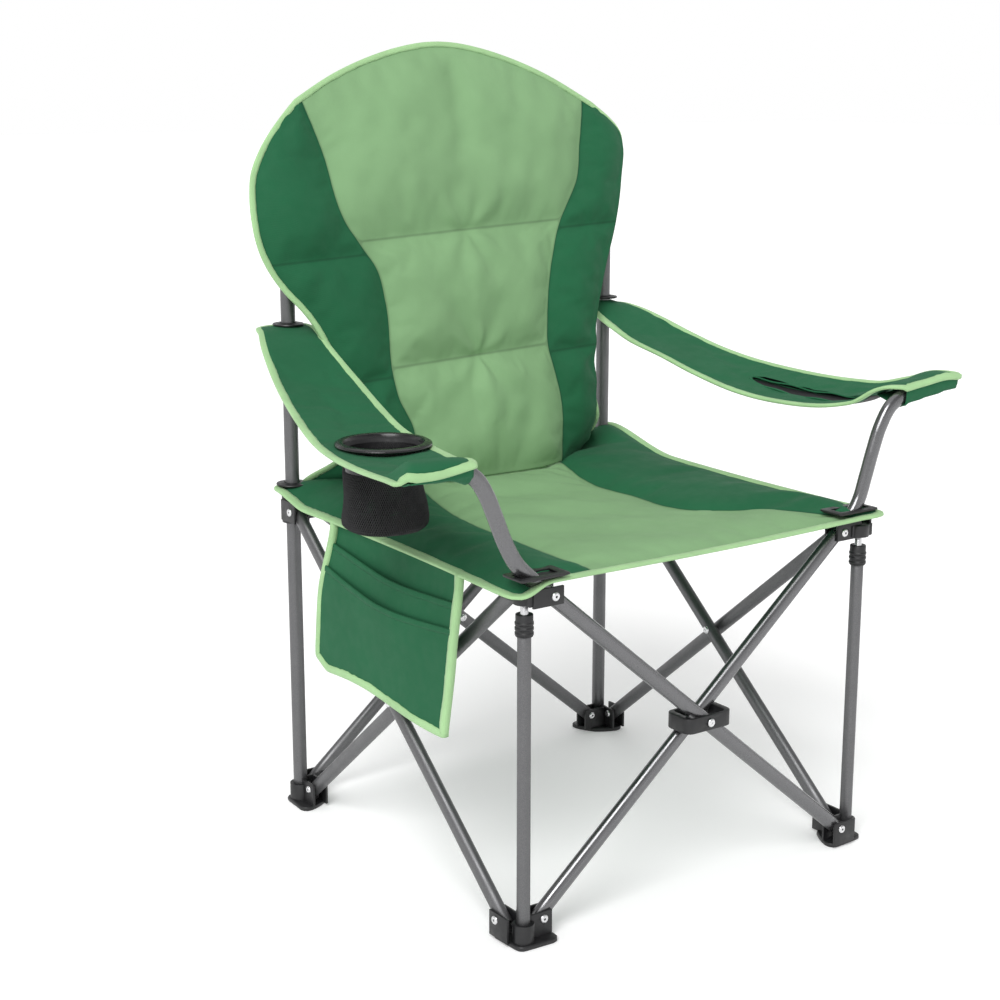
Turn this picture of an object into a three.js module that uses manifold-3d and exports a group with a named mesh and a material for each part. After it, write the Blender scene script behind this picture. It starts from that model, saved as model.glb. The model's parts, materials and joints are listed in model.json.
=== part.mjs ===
// Folding camp chair: a four-legged scissor frame of steel tube with a padded fabric seat, back and armrests.
// Millimetres, +Z up. The sitter faces -Y. The origin is on the floor under the middle of the overall box.
import * as THREE from "three";
import * as BufferGeometryUtils from "three/addons/utils/BufferGeometryUtils.js";
import Module from "manifold-3d";

const wasm = await Module();
wasm.setup();

// ---- driving dimensions -------------------------------------------------------------------------------
const LEG = 264; // each leg's axis stands this far from the middle, in X and in Y
const INSET = 28; // a cross tube's pivot is this far inside its leg's axis
const PIVOT = LEG - INSET;
const LOW = 26; // height of the lower pivots
const HIGH = 422; // height of the upper pivots, open
const LANE = 9; // the two tubes of a cross pass each other this far to either side of the leg plane
const PLAN_SHIFT = -8; // moves the leg plan so that the overall box is centred on the origin

const TUBE_R = 8; // cross tubes and front legs
const POST_R = 9.5; // rear posts
const WALL = 1.2;
const PIN_R = 2.5;
const PIN_HOLE_R = 2.8;
const GAP = 0.3;
const LUG_WALL = 3;
const LUG_CLEAR = 0.5;

const POST_TOP = 824;
const LEG_TOP = 394;
const ROD_R = 4.5;
const ROD_LENGTH = 300;
const BRACKET_BOTTOM = 414;
const SLIDER_BOTTOM = 402;
const SLIDER_TOP = 442;

const SEAT_THICK = 7;
const SEAT_REAR_Z = 449;
const SEAT_FRONT_Z = 442;
const SEAT_SAG = 15;
const SEAT_HALF = 286;
const ARM_REAR_Z = 664;
const FABRIC = 6;

const CUP = { x: -329, y: -76, rim: 55, hole: 45, mesh: 49, top: 573, bottom: 472 };

const COLOURS = {
  tube: [0x6e7073, 0.38, 0.85],
  arm_tube: [0x9a9c9e, 0.3, 0.9],
  plastic: [0x17181a, 0.5, 0.0],
  steel: [0xc4c6c8, 0.3, 0.95],
  light: [0x86b47c, 0.9, 0.0],
  dark: [0x1f6a43, 0.9, 0.0],
  mesh: [0x151618, 0.85, 0.0],
};

// ---- solids -------------------------------------------------------------------------------------------
function solid(geometry) {
  const bare = geometry.clone();
  bare.deleteAttribute("normal");
  bare.deleteAttribute("uv");
  const merged = BufferGeometryUtils.mergeVertices(bare, 1e-4);
  return new wasm.Manifold(
    new wasm.Mesh({
      numProp: 3,
      vertProperties: new Float32Array(merged.attributes.position.array),
      triVerts: new Uint32Array(merged.index.array),
    }),
  );
}

function geometryOf(manifold) {
  const mesh = manifold.getMesh();
  const geometry = new THREE.BufferGeometry();
  geometry.setAttribute("position", new THREE.BufferAttribute(mesh.vertProperties, 3));
  geometry.setIndex(new THREE.BufferAttribute(mesh.triVerts, 1));
  return geometry;
}

function joined(geometries) {
  return geometries.map(solid).reduce((all, next) => all.add(next));
}

function cut(body, geometries) {
  return geometries.map(solid).reduce((rest, next) => rest.subtract(next), body);
}

function box(x0, x1, y0, y1, z0, z1) {
  const geometry = new THREE.BoxGeometry(x1 - x0, y1 - y0, z1 - z0);
  return geometry.translate((x0 + x1) / 2, (y0 + y1) / 2, (z0 + z1) / 2);
}

function upright(radius, z0, z1, x = 0, y = 0, sides = 16) {
  const geometry = new THREE.CylinderGeometry(radius, radius, z1 - z0, sides);
  return geometry.rotateX(Math.PI / 2).translate(x, y, (z0 + z1) / 2);
}

function rodBetween(a, b, radius, sides = 8) {
  const along = new THREE.Vector3().subVectors(b, a);
  const geometry = new THREE.CylinderGeometry(radius, radius, along.length(), sides);
  const turn = new THREE.Quaternion().setFromUnitVectors(new THREE.Vector3(0, 1, 0), along.clone().normalize());
  return geometry.applyQuaternion(turn).translate(...new THREE.Vector3().addVectors(a, b).multiplyScalar(0.5));
}

function ringShape(outer, inner) {
  const shape = new THREE.Shape().absarc(0, 0, outer, 0, Math.PI * 2);
  shape.holes.push(new THREE.Path().absarc(0, 0, inner, 0, Math.PI * 2, true));
  return shape;
}

function straightTube(a, b, outer, inner) {
  const along = new THREE.Vector3().subVectors(b, a);
  const options = { depth: along.length(), bevelEnabled: false, curveSegments: 8 };
  const geometry = new THREE.ExtrudeGeometry(ringShape(outer, inner), options);
  const turn = new THREE.Quaternion().setFromUnitVectors(new THREE.Vector3(0, 0, 1), along.normalize());
  return geometry.applyQuaternion(turn).translate(a.x, a.y, a.z);
}

function turned(profile, sides = 18) {
  const points = profile.map(([r, z]) => new THREE.Vector2(r, z));
  return new THREE.LatheGeometry(points, sides).rotateX(Math.PI / 2);
}

// A closed sheet: `at(u, v)` is the middle surface, `normal` the way its thickness is laid on.
function sheet(at, normal, thickness, across, along) {
  const half = normal.clone().normalize().multiplyScalar(thickness / 2);
  const positions = [];
  const faces = [];
  const row = along + 1;
  const layer = (across + 1) * row;
  for (const side of [1, -1]) {
    for (let i = 0; i <= across; i++) {
      for (let j = 0; j <= along; j++) {
        const point = at(i / across, j / along);
        positions.push(point.x + side * half.x, point.y + side * half.y, point.z + side * half.z);
      }
    }
  }
  const quad = (a, b, c, d) => faces.push(a, b, c, a, c, d);
  for (let i = 0; i < across; i++) {
    for (let j = 0; j < along; j++) {
      const k = i * row + j;
      quad(k, k + row, k + row + 1, k + 1);
      quad(layer + k, layer + k + 1, layer + k + row + 1, layer + k + row);
    }
  }
  for (let i = 0; i < across; i++) {
    const first = i * row;
    const last = i * row + along;
    quad(first, layer + first, layer + first + row, first + row);
    quad(last + row, layer + last + row, layer + last, last);
  }
  for (let j = 0; j < along; j++) {
    const first = j;
    const last = across * row + j;
    quad(first + 1, layer + first + 1, layer + first, first);
    quad(last, layer + last, layer + last + 1, last + 1);
  }
  const geometry = new THREE.BufferGeometry();
  geometry.setAttribute("position", new THREE.Float32BufferAttribute(positions, 3));
  geometry.setIndex(faces);
  const body = solid(geometry);
  return body.volume() < 0 ? solid(flipped(geometry)) : body;
}

function flipped(geometry) {
  const index = Array.from(geometry.index.array);
  for (let i = 0; i < index.length; i += 3) [index[i], index[i + 1]] = [index[i + 1], index[i]];
  geometry.setIndex(index);
  return geometry;
}

// A smooth curve through a few (input, output) pairs that overshoots them by no more than 4.
function profile(pairs) {
  const points = pairs.map(([x, y]) => new THREE.Vector2(x, y));
  return (input) => {
    if (input <= points[0].x) return points[0].y;
    for (let i = 1; i < points.length; i++) {
      if (input > points[i].x) continue;
      const t = (input - points[i - 1].x) / (points[i].x - points[i - 1].x);
      const before = points[Math.max(i - 2, 0)];
      const after = points[Math.min(i + 1, points.length - 1)];
      return THREE.MathUtils.clamp(
        catmull(before.y, points[i - 1].y, points[i].y, after.y, t),
        Math.min(points[i - 1].y, points[i].y) - 4,
        Math.max(points[i - 1].y, points[i].y) + 4,
      );
    }
    return points[points.length - 1].y;
  };
}

function catmull(p0, p1, p2, p3, t) {
  const v0 = (p2 - p0) / 2;
  const v1 = (p3 - p1) / 2;
  return (2 * p1 - 2 * p2 + v0 + v1) * t ** 3 + (-3 * p1 + 3 * p2 - 2 * v0 - v1) * t ** 2 + v0 * t + p1;
}

// ---- the chair's group --------------------------------------------------------------------------------
const chair = new THREE.Group();
chair.position.y = PLAN_SHIFT;

function add(name, shape, colour, parent = chair) {
  const [hex, roughness, metalness] = COLOURS[colour];
  const geometry = shape.isBufferGeometry ? shape : geometryOf(shape);
  const material = new THREE.MeshStandardMaterial({ color: hex, roughness, metalness });
  const mesh = new THREE.Mesh(geometry, material);
  mesh.name = name;
  parent.add(mesh);
  return mesh;
}

// Each corner is the front-left one turned by quarter turns about the middle. In a corner's own frame the
// leg stands at (-LEG, -LEG), the "first" cross tube leaves along +X and the "second" along +Y.
const CORNERS = [
  { name: "front_left", turn: 0, rear: false },
  { name: "front_right", turn: 1, rear: false },
  { name: "rear_right", turn: 2, rear: true },
  { name: "rear_left", turn: 3, rear: true },
];

function cornerGroup(turn) {
  const group = new THREE.Group();
  group.rotation.z = (turn * Math.PI) / 2;
  chair.add(group);
  return group;
}

// Two walls with a riveted pin between them, holding a tube end that leaves along +X in lane `lane`.
function lugWalls(lane, bottom, top, pivotZ, start) {
  const inner = TUBE_R + LUG_CLEAR;
  const outer = inner + LUG_WALL;
  const end = -PIVOT + 12;
  const walls = [1, -1].map((side) => {
    const near = -LEG + lane + side * inner;
    const far = -LEG + lane + side * outer;
    return box(start, end, Math.min(near, far), Math.max(near, far), bottom, top);
  });
  const across = (reach) => new THREE.Vector3(-PIVOT, -LEG + lane + reach, pivotZ);
  const pin = rodBetween(across(-outer - 0.5), across(outer + 0.5), PIN_R);
  const heads = [1, -1].map((side) => rodBetween(across(side * (outer - 0.4)), across(side * (outer + 1.6)), 4.6));
  return [...walls, pin, ...heads];
}

// The same for the tube that leaves along +Y: the walls mirrored across the corner's diagonal.
function mirrored(geometry) {
  const swap = new THREE.Matrix4().set(0, 1, 0, 0, 1, 0, 0, 0, 0, 0, 1, 0, 0, 0, 0, 1);
  return flipped(BufferGeometryUtils.mergeVertices(geometry.clone().applyMatrix4(swap)));
}

function secondLug(lane, bottom, top, pivotZ, start) {
  return lugWalls(lane, bottom, top, pivotZ, start).map(mirrored);
}

// ---- feet ---------------------------------------------------------------------------------------------
function footPlate() {
  const reach = INSET + 11;
  const shape = new THREE.Shape();
  shape.moveTo(-15, -5);
  shape.quadraticCurveTo(-15, -15, -5, -15);
  shape.lineTo(reach - 8, -17);
  shape.quadraticCurveTo(reach + 2, -16, reach + 1, -5);
  shape.quadraticCurveTo(reach - 2, 8, reach - 14, reach - 14);
  shape.quadraticCurveTo(8, reach - 2, -5, reach + 1);
  shape.quadraticCurveTo(-16, reach + 2, -17, reach - 8);
  shape.lineTo(-15, -5);
  const bevel = { bevelEnabled: true, bevelSize: 1.2, bevelThickness: 1.2, bevelSegments: 1 };
  const plate = new THREE.ExtrudeGeometry(shape, { depth: 3.6, curveSegments: 3, ...bevel });
  return plate.translate(-LEG, -LEG, 1.2);
}

function foot(socketR, boreR) {
  const outer = [
    footPlate(),
    upright(socketR, 4, 28, -LEG, -LEG),
    ...lugWalls(LANE, 4, 35, LOW, -LEG + 4),
    ...secondLug(-LANE, 4, 35, LOW, -LEG + 4),
  ];
  const web = box(-LEG + 4, -LEG + 20, -LEG + 4, -LEG + 20, 4, 18);
  const rooms = [endRoom(LANE, LOW, 12, 60), mirrored(endRoom(-LANE, LOW, 12, 60))];
  return cut(joined([...outer, web]), [upright(boreR, 6 + GAP, 60, -LEG, -LEG), ...rooms]);
}

// Room for one cross tube's end to swing in about its pivot, with the rivet's pin left standing in it.
function endRoom(lane, pivotZ, z0, z1) {
  const reach = TUBE_R + LUG_CLEAR;
  const y = -LEG + lane;
  const room = box(-PIVOT - 13.5, -PIVOT + 40, y - reach, y + reach, z0, z1);
  const pin = rodBetween(new THREE.Vector3(-PIVOT, y - 12, pivotZ), new THREE.Vector3(-PIVOT, y + 12, pivotZ), PIN_R);
  return geometryOf(solid(room).subtract(solid(pin)));
}

// Room for a tube that carries on past its pivot: all that it sweeps from the open chair to the folded one.
function swingRoom(lane) {
  const reach = TUBE_R + LUG_CLEAR;
  const shape = new THREE.Shape();
  shape.moveTo(-PIVOT - 9.5, HIGH - 30);
  shape.lineTo(-PIVOT - 9.5, HIGH - 5.2);
  shape.lineTo(-PIVOT - 69.5, HIGH - 5.2 + 60 * ((HIGH - LOW) / (2 * PIVOT)));
  shape.lineTo(-PIVOT + 40, HIGH + 70);
  shape.lineTo(-PIVOT + 40, HIGH - 30);
  const prism = new THREE.ExtrudeGeometry(shape, { depth: 2 * reach, bevelEnabled: false });
  const y = -LEG + lane;
  const room = solid(prism.rotateX(Math.PI / 2).translate(0, y + reach, 0));
  const pin = rodBetween(new THREE.Vector3(-PIVOT, y - 12, HIGH), new THREE.Vector3(-PIVOT, y + 12, HIGH), PIN_R);
  return geometryOf(room.subtract(solid(pin)));
}

for (const corner of CORNERS) {
  const tubeR = corner.rear ? POST_R : TUBE_R;
  add(`${corner.name}_foot`, foot(tubeR + 5, tubeR + GAP), "plastic", cornerGroup(corner.turn));
}

// ---- front legs, their sleeves and sliding rods -------------------------------------------------------
function sleeve() {
  const top = LEG_TOP + 8;
  const bottom = LEG_TOP - 18;
  const body = upright(TUBE_R + 2.2, bottom, top, -LEG, -LEG);
  const ribs = [2, 8, 14].map((up) => upright(TUBE_R + 3, bottom + up, bottom + up + 3, -LEG, -LEG));
  const bores = [
    upright(TUBE_R + GAP, bottom - 5, LEG_TOP + GAP, -LEG, -LEG),
    upright(ROD_R + GAP, LEG_TOP - 5, top + 5, -LEG, -LEG),
  ];
  return cut(joined([body, ...ribs]), bores);
}

for (const corner of CORNERS.filter((c) => !c.rear)) {
  const group = cornerGroup(corner.turn);
  const base = new THREE.Vector3(-LEG, -LEG, 6 + 2 * GAP);
  const top = new THREE.Vector3(-LEG, -LEG, LEG_TOP);
  add(`${corner.name}_leg`, solid(straightTube(base, top, TUBE_R, TUBE_R - WALL)), "tube", group);
  add(`${corner.name}_leg_sleeve`, sleeve(), "plastic", group);
  const rodTop = BRACKET_BOTTOM + 3;
  add(`${corner.name}_leg_rod`, solid(upright(ROD_R, rodTop - ROD_LENGTH, rodTop, -LEG, -LEG)), "steel", group);
}

// ---- rear posts and their end caps --------------------------------------------------------------------
for (const corner of CORNERS.filter((c) => c.rear)) {
  const group = cornerGroup(corner.turn);
  const base = new THREE.Vector3(-LEG, -LEG, 6 + 2 * GAP);
  const top = new THREE.Vector3(-LEG, -LEG, POST_TOP);
  add(`${corner.name}_post`, solid(straightTube(base, top, POST_R, POST_R - WALL)), "tube", group);
  const plugR = POST_R - WALL - GAP;
  const cap = [
    [0, POST_TOP - 16],
    [plugR, POST_TOP - 16],
    [plugR, POST_TOP + GAP],
    [POST_R, POST_TOP + GAP],
    [POST_R - 1, POST_TOP + 3.5],
    [0, POST_TOP + 4.5],
  ];
  add(`${corner.name}_post_cap`, solid(turned(cap).translate(-LEG, -LEG, 0)), "plastic", group);
}

// ---- front brackets and rear sliders ------------------------------------------------------------------
function frontBracket() {
  const parts = [
    upright(13, BRACKET_BOTTOM, 429, -LEG, -LEG),
    box(-LEG - 6, -PIVOT - 12.5, -LEG - 18, -LEG + 4, BRACKET_BOTTOM, 429),
    box(-LEG - 4, -LEG + 18, -LEG - 6, -PIVOT - 12.5, BRACKET_BOTTOM, 429),
    ...lugWalls(-LANE, 412, 433, HIGH, -LEG - 2),
    ...secondLug(LANE, 412, 433, HIGH, -LEG - 2),
  ];
  const socket = upright(ROD_R + GAP, 400, BRACKET_BOTTOM + 3 + GAP, -LEG, -LEG);
  return cut(joined(parts), [socket, swingRoom(-LANE), mirrored(swingRoom(LANE))]);
}

function rearSlider() {
  const parts = [
    upright(POST_R + 5.5, SLIDER_BOTTOM, SLIDER_TOP, -LEG, -LEG),
    ...lugWalls(-LANE, 408, 436, HIGH, -LEG + 4),
    ...secondLug(LANE, 408, 436, HIGH, -LEG + 4),
  ];
  const bore = upright(POST_R + GAP, SLIDER_BOTTOM - 5, SLIDER_TOP + 5, -LEG, -LEG);
  return cut(joined(parts), [bore, endRoom(-LANE, HIGH, 380, 470), mirrored(endRoom(LANE, HIGH, 380, 470))]);
}

for (const corner of CORNERS) {
  const group = cornerGroup(corner.turn);
  if (corner.rear) add(`${corner.name}_slider`, rearSlider(), "plastic", group);
  else add(`${corner.name}_bracket`, frontBracket(), "plastic", group);
}

// ---- cross tubes --------------------------------------------------------------------------------------
// In a corner's own frame the "first" tube runs from this corner's foot to the next corner's head in the
// inner lane, and the "second" to the previous corner's head in the outer lane.
const END = 9; // a tube runs this far past its pivot
const RISE = new THREE.Vector3(2 * PIVOT, 0, HIGH - LOW).normalize();

function drilled(tube, spots, lane) {
  const holes = spots.map(([x, z]) =>
    rodBetween(new THREE.Vector3(x, lane - 20, z), new THREE.Vector3(x, lane + 20, z), PIN_HOLE_R),
  );
  return cut(tube, holes);
}

const PIN_SPOTS = [
  [-PIVOT, LOW],
  [0, (LOW + HIGH) / 2],
  [PIVOT, HIGH],
];

function crossTube(lane) {
  const y = -LEG + lane;
  const a = new THREE.Vector3(-PIVOT, y, LOW).addScaledVector(RISE, -END);
  const b = new THREE.Vector3(PIVOT, y, HIGH).addScaledVector(RISE, END);
  return drilled(solid(straightTube(a, b, TUBE_R, TUBE_R - WALL)), PIN_SPOTS, y);
}

// A sweep path with one ring at each given point.
class Route extends THREE.Curve {
  constructor(rings) {
    super();
    this.rings = rings;
  }
  getSpacedPoints() {
    return this.rings;
  }
  getTangentAt(u) {
    const i = Math.round(u * (this.rings.length - 1));
    const before = this.rings[Math.max(i - 1, 0)];
    const after = this.rings[Math.min(i + 1, this.rings.length - 1)];
    const here = this.rings[i];
    const arriving = here.clone().sub(before).normalize();
    const leaving = after.clone().sub(here).normalize();
    return arriving.add(leaving).normalize();
  }
}

// The front pair carries on above the upper pivot, bends steeper, then turns out into the armrest's hem.
const RIGHT_ARM_BENDS = [
  [270, 457],
  [281, 487],
  [292, 520],
  [304, 550],
  [321, 574],
  [344, 586],
  [381, 592],
  [416, 597],
];
const LEFT_ARM_BENDS = [
  [282, 464],
  [297, 490],
  [311, 523],
  [323, 549],
  [336, 567],
  [354, 577],
  [381, 581],
  [416, 583],
];
const ARM_STEPS = 14;

function armTube(lane, bendPoints) {
  const y = -LEG + lane;
  const start = new THREE.Vector3(-PIVOT, y, LOW).addScaledVector(RISE, -END);
  const bendStart = new THREE.Vector3(PIVOT, y, HIGH).addScaledVector(RISE, 30);
  const bends = bendPoints.map(([x, z]) => new THREE.Vector3(x, y, z));
  const arm = new THREE.CatmullRomCurve3([bendStart, ...bends]);
  const route = new Route([start, ...arm.getSpacedPoints(ARM_STEPS)]);
  const options = { steps: route.rings.length - 1, extrudePath: route, curveSegments: 6, bevelEnabled: false };
  const tube = new THREE.ExtrudeGeometry(ringShape(TUBE_R, TUBE_R - WALL), options);
  return drilled(solid(tube), PIN_SPOTS, y);
}

for (const corner of CORNERS) {
  const group = cornerGroup(corner.turn);
  if (corner.name === "front_left") {
    add("arm_tube_right", armTube(LANE, RIGHT_ARM_BENDS), "arm_tube", group);
    continue;
  }
  const names = { front_right: "right_cross_b", rear_right: "rear_cross_b", rear_left: "left_cross_a" };
  add(names[corner.name], crossTube(LANE), "tube", group);
}

function secondTube(shape) {
  return mirrored(geometryOf(shape));
}

for (const corner of CORNERS) {
  const group = cornerGroup(corner.turn);
  if (corner.name === "front_right") {
    add("arm_tube_left", secondTube(armTube(-LANE, LEFT_ARM_BENDS)), "arm_tube", group);
    continue;
  }
  const names = { front_left: "left_cross_b", rear_right: "right_cross_a", rear_left: "rear_cross_a" };
  add(names[corner.name], secondTube(crossTube(-LANE)), "tube", group);
}

// ---- rivets at the crossings --------------------------------------------------------------------------
const MIDDLE = (LOW + HIGH) / 2;

function crossingRivet(reach) {
  const at = (y) => new THREE.Vector3(0, -LEG + y, MIDDLE);
  const pin = rodBetween(at(-reach), at(reach), PIN_R);
  const heads = [1, -1].map((side) => rodBetween(at(side * (reach - 0.2)), at(side * (reach + 1.6)), 5));
  return joined([pin, ...heads]);
}

const RIVETS = { right: 1, rear: 2, left: 3 };
for (const [name, turn] of Object.entries(RIVETS)) {
  add(`${name}_cross_rivet`, crossingRivet(LANE + TUBE_R + 0.6), "steel", cornerGroup(turn));
}

// ---- front hub: a plastic collar round both arm tubes where they cross --------------------------------
const HUB = { halfX: 36, halfY: 21.5, innerX: 27, innerY: 18, half: 9.5 };

function roundedRectangle(halfX, halfY, corner) {
  const shape = new THREE.Shape();
  shape.moveTo(-halfX + corner, -halfY);
  shape.lineTo(halfX - corner, -halfY);
  shape.quadraticCurveTo(halfX, -halfY, halfX, -halfY + corner);
  shape.lineTo(halfX, halfY - corner);
  shape.quadraticCurveTo(halfX, halfY, halfX - corner, halfY);
  shape.lineTo(-halfX + corner, halfY);
  shape.quadraticCurveTo(-halfX, halfY, -halfX, halfY - corner);
  shape.lineTo(-halfX, -halfY + corner);
  shape.quadraticCurveTo(-halfX, -halfY, -halfX + corner, -halfY);
  return shape;
}

function hub() {
  const depth = 2 * HUB.half;
  const options = { depth, bevelEnabled: false, curveSegments: 6 };
  const outer = new THREE.ExtrudeGeometry(roundedRectangle(HUB.halfX, HUB.halfY, 12), options);
  const inner = new THREE.ExtrudeGeometry(roundedRectangle(HUB.innerX, HUB.innerY, 6), { ...options, depth: 40 });
  const lower = -LEG;
  const collar = solid(outer.translate(0, lower, MIDDLE - HUB.half));
  const open = collar.subtract(solid(inner.translate(0, lower, MIDDLE - 20)));
  const at = (y) => new THREE.Vector3(0, -LEG + y, MIDDLE);
  return open.subtract(solid(rodBetween(at(-30), at(30), PIN_HOLE_R)));
}
add("front_hub", hub(), "plastic");
add("front_hub_rivet", crossingRivet(HUB.halfY + 0.6), "steel");

// ---- seat ---------------------------------------------------------------------------------------------
const SEAT_CREASE_Y = 0;

// Height of the seat's middle surface: it hangs from its four corners.
function seatZ(x, y) {
  const base = THREE.MathUtils.mapLinear(y, -LEG, LEG, SEAT_FRONT_Z, SEAT_REAR_Z);
  const across = 1 - (x / SEAT_HALF) ** 2;
  const along = 1 - 0.55 * (y / LEG) ** 2;
  return base - SEAT_SAG * Math.max(across, 0) * Math.max(along, 0);
}

const seatFrontEdge = (x) => -290 + 14 * (1 - (x / SEAT_HALF) ** 2);
const seatRearEdge = profile([
  [0, 184],
  [100, 188],
  [180, 225],
  [240, 278],
  [286, 284],
]);
const seatSideEdge = (y) => SEAT_HALF - 14 * Math.max(1 - (y / 240) ** 2, 0);

function seatHalf(fromY, toY) {
  const at = (u, v) => {
    const side = 2 * u - 1;
    const rough = side * SEAT_HALF;
    const y = THREE.MathUtils.lerp(fromY(Math.abs(rough)), toY(Math.abs(rough)), v);
    const x = side * seatSideEdge(y);
    return new THREE.Vector3(x, y, seatZ(x, y));
  };
  return sheet(at, new THREE.Vector3(0, 0, 1), SEAT_THICK, 16, 7);
}

// The slot that an arm tube swings in as the chair folds, at one front corner.
function armSlot(side, halfWidth, z0, z1) {
  const lane = side > 0 ? LANE : -LANE;
  const near = side * 230;
  const far = side * 282;
  const y = -LEG + lane;
  return box(Math.min(near, far), Math.max(near, far), y - halfWidth, y + halfWidth, z0, z1);
}

const slots = [-1, 1].map((side) => armSlot(side, TUBE_R + 1.2, 420, 470));
const crease = SEAT_CREASE_Y;
add("seat_front", cut(seatHalf(seatFrontEdge, () => crease - GAP), slots), "light");
const postHoles = [-1, 1].map((side) => upright(POST_R + 1, 420, 480, side * LEG, LEG));
add("seat_rear", cut(seatHalf(() => crease + GAP, seatRearEdge), postHoles), "light");

// Plastic plates on the seat's front corners, round the arm tubes.
function seatPlate(side) {
  const lane = side > 0 ? LANE : -LANE;
  const shape = roundedRectangle(34, 19, 4);
  const top = SEAT_FRONT_Z + SEAT_THICK / 2 + GAP;
  const plate = new THREE.ExtrudeGeometry(shape, { depth: 2.5, bevelEnabled: false, curveSegments: 3 });
  return cut(solid(plate.translate(side * 254, -LEG + lane, top + 1)), [armSlot(side, TUBE_R + 1.5, 430, 480)]);
}
add("front_left_seat_plate", seatPlate(-1), "plastic");
add("front_right_seat_plate", seatPlate(1), "plastic");

// ---- grommets round the rear posts --------------------------------------------------------------------
function grommet(z, outer) {
  const ring = [
    [POST_R + 0.8, z],
    [outer, z],
    [outer - 0.8, z + 1.6],
    [POST_R + 3.5, z + 2.4],
    [POST_R + 0.8, z + 2.2],
    [POST_R + 0.8, z],
  ];
  return solid(turned(ring));
}

for (const side of [-1, 1]) {
  const name = side < 0 ? "left" : "right";
  const seatTop = SEAT_REAR_Z + SEAT_THICK / 2 + 1.2;
  add(`rear_${name}_seat_grommet`, grommet(seatTop, 22).translate(side * LEG, LEG, 0), "plastic");
  add(`${name}_arm_grommet`, grommet(ARM_REAR_Z + FABRIC / 2 + 1.2, 21).translate(side * LEG, LEG, 0), "plastic");
}

// ---- backrest -----------------------------------------------------------------------------------------
const BACK_BOTTOM = 464;
const BACK_TOP = 1028;
const BACK_THICK = 11;

// Half the width of the back at each height: a waist above the seat, wide wings, and a round top.
const backHalfWidth = profile([
  [464, 236],
  [508, 209],
  [573, 206],
  [640, 226],
  [690, 250],
  [745, 283],
  [800, 303],
  [855, 312],
  [890, 305],
  [925, 280],
  [958, 232],
  [985, 178],
  [1008, 118],
  [1022, 66],
  [1028, 22],
]);

// Where the back's middle surface lies in Y: it leans back, more above the posts' tops.
const backLean = profile([
  [445, 176],
  [600, 205],
  [740, 231],
  [822, 244],
  [900, 266],
  [1028, 301],
]);

function backY(x, z) {
  const low = THREE.MathUtils.smoothstep(BACK_BOTTOM + 60 - z, 0, 60);
  const out = THREE.MathUtils.smoothstep(Math.abs(x), 120, 240);
  return backLean(z) + 62 * low * out;
}

function backrest() {
  const at = (u, v) => {
    const z = THREE.MathUtils.lerp(BACK_BOTTOM, BACK_TOP, 1 - (1 - v) ** 1.35);
    const x = (2 * u - 1) * backHalfWidth(z);
    return new THREE.Vector3(x, backY(x, z), z);
  };
  return sheet(at, new THREE.Vector3(0, 1, 0), BACK_THICK, 14, 20);
}
add("backrest", backrest(), "light");

// ---- armrests -----------------------------------------------------------------------------------------
const ARM_SPLIT_Y = 116;
const armZ = profile([
  [-262, 588],
  [-200, 574],
  [-100, 567],
  [0, 573],
  [75, 590],
  [150, 616],
  [232, 659],
  [250, 664],
  [292, 664],
]);
const armInner = profile([
  [-262, 334],
  [-186, 303],
  [-88, 274],
  [6, 266],
  [81, 250],
  [160, 242],
  [292, 240],
]);
const armOuter = profile([
  [-262, 424],
  [-150, 404],
  [-55, 392],
  [51, 368],
  [141, 350],
  [204, 336],
  [292, 322],
]);

function armPart(side, y0, y1, along) {
  const at = (u, v) => {
    const y = THREE.MathUtils.lerp(y0, y1, v);
    const x = THREE.MathUtils.lerp(armInner(y), armOuter(y), u);
    return new THREE.Vector3(side * x, y, armZ(y));
  };
  return sheet(at, new THREE.Vector3(0, 0, 1), FABRIC, 4, along);
}

const cupHole = upright(CUP.hole + 1.5, 540, 600, CUP.x, CUP.y, 36);
const hemY = { left: -LEG - LANE + TUBE_R + 1.5, right: -LEG + LANE + TUBE_R + 1.5 };
add("left_armrest_front", cut(armPart(-1, hemY.left, ARM_SPLIT_Y - GAP, 12), [cupHole]), "dark");
add("right_armrest_front", armPart(1, hemY.right, ARM_SPLIT_Y - GAP, 12), "dark");
for (const side of [-1, 1]) {
  const hole = upright(POST_R + 1, 640, 700, side * LEG, LEG);
  const rear = cut(armPart(side, ARM_SPLIT_Y + GAP, 290, 8), [hole]);
  add(side < 0 ? "left_armrest_rear" : "right_armrest_rear", rear, "dark");
}

// ---- cup holder in the left armrest -------------------------------------------------------------------
function cupRim() {
  const z = CUP.top;
  return turned(
    [
      [CUP.hole - 1, z - 9],
      [CUP.hole + 0.8, z - 9],
      [CUP.hole + 0.8, z + 3],
      [CUP.rim - 1, z + 2.4],
      [CUP.rim, z + 3.6],
      [CUP.rim - 2, z + 6],
      [CUP.hole + 2, z + 7],
      [CUP.hole - 1, z + 4],
      [CUP.hole - 1, z - 9],
    ],
    28,
  );
}

function cupMesh() {
  const inner = CUP.hole - 2.5;
  const z = CUP.top;
  return turned(
    [
      [0, CUP.bottom],
      [CUP.mesh - 6, CUP.bottom],
      [CUP.mesh, CUP.bottom + 8],
      [CUP.mesh - 1, CUP.bottom + 22],
      [inner, z - 30],
      [inner, z - 2],
      [inner - 1.6, z - 2],
      [inner - 1.6, z - 30],
      [CUP.mesh - 3, CUP.bottom + 22],
      [CUP.mesh - 2.5, CUP.bottom + 9],
      [CUP.mesh - 7.5, CUP.bottom + 2],
      [0, CUP.bottom + 2],
    ],
    24,
  );
}

add("cup_rim", solid(cupRim().translate(CUP.x, CUP.y, 0)), "plastic");
add("cup_mesh", solid(cupMesh().translate(CUP.x, CUP.y, 0)), "mesh");

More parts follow.
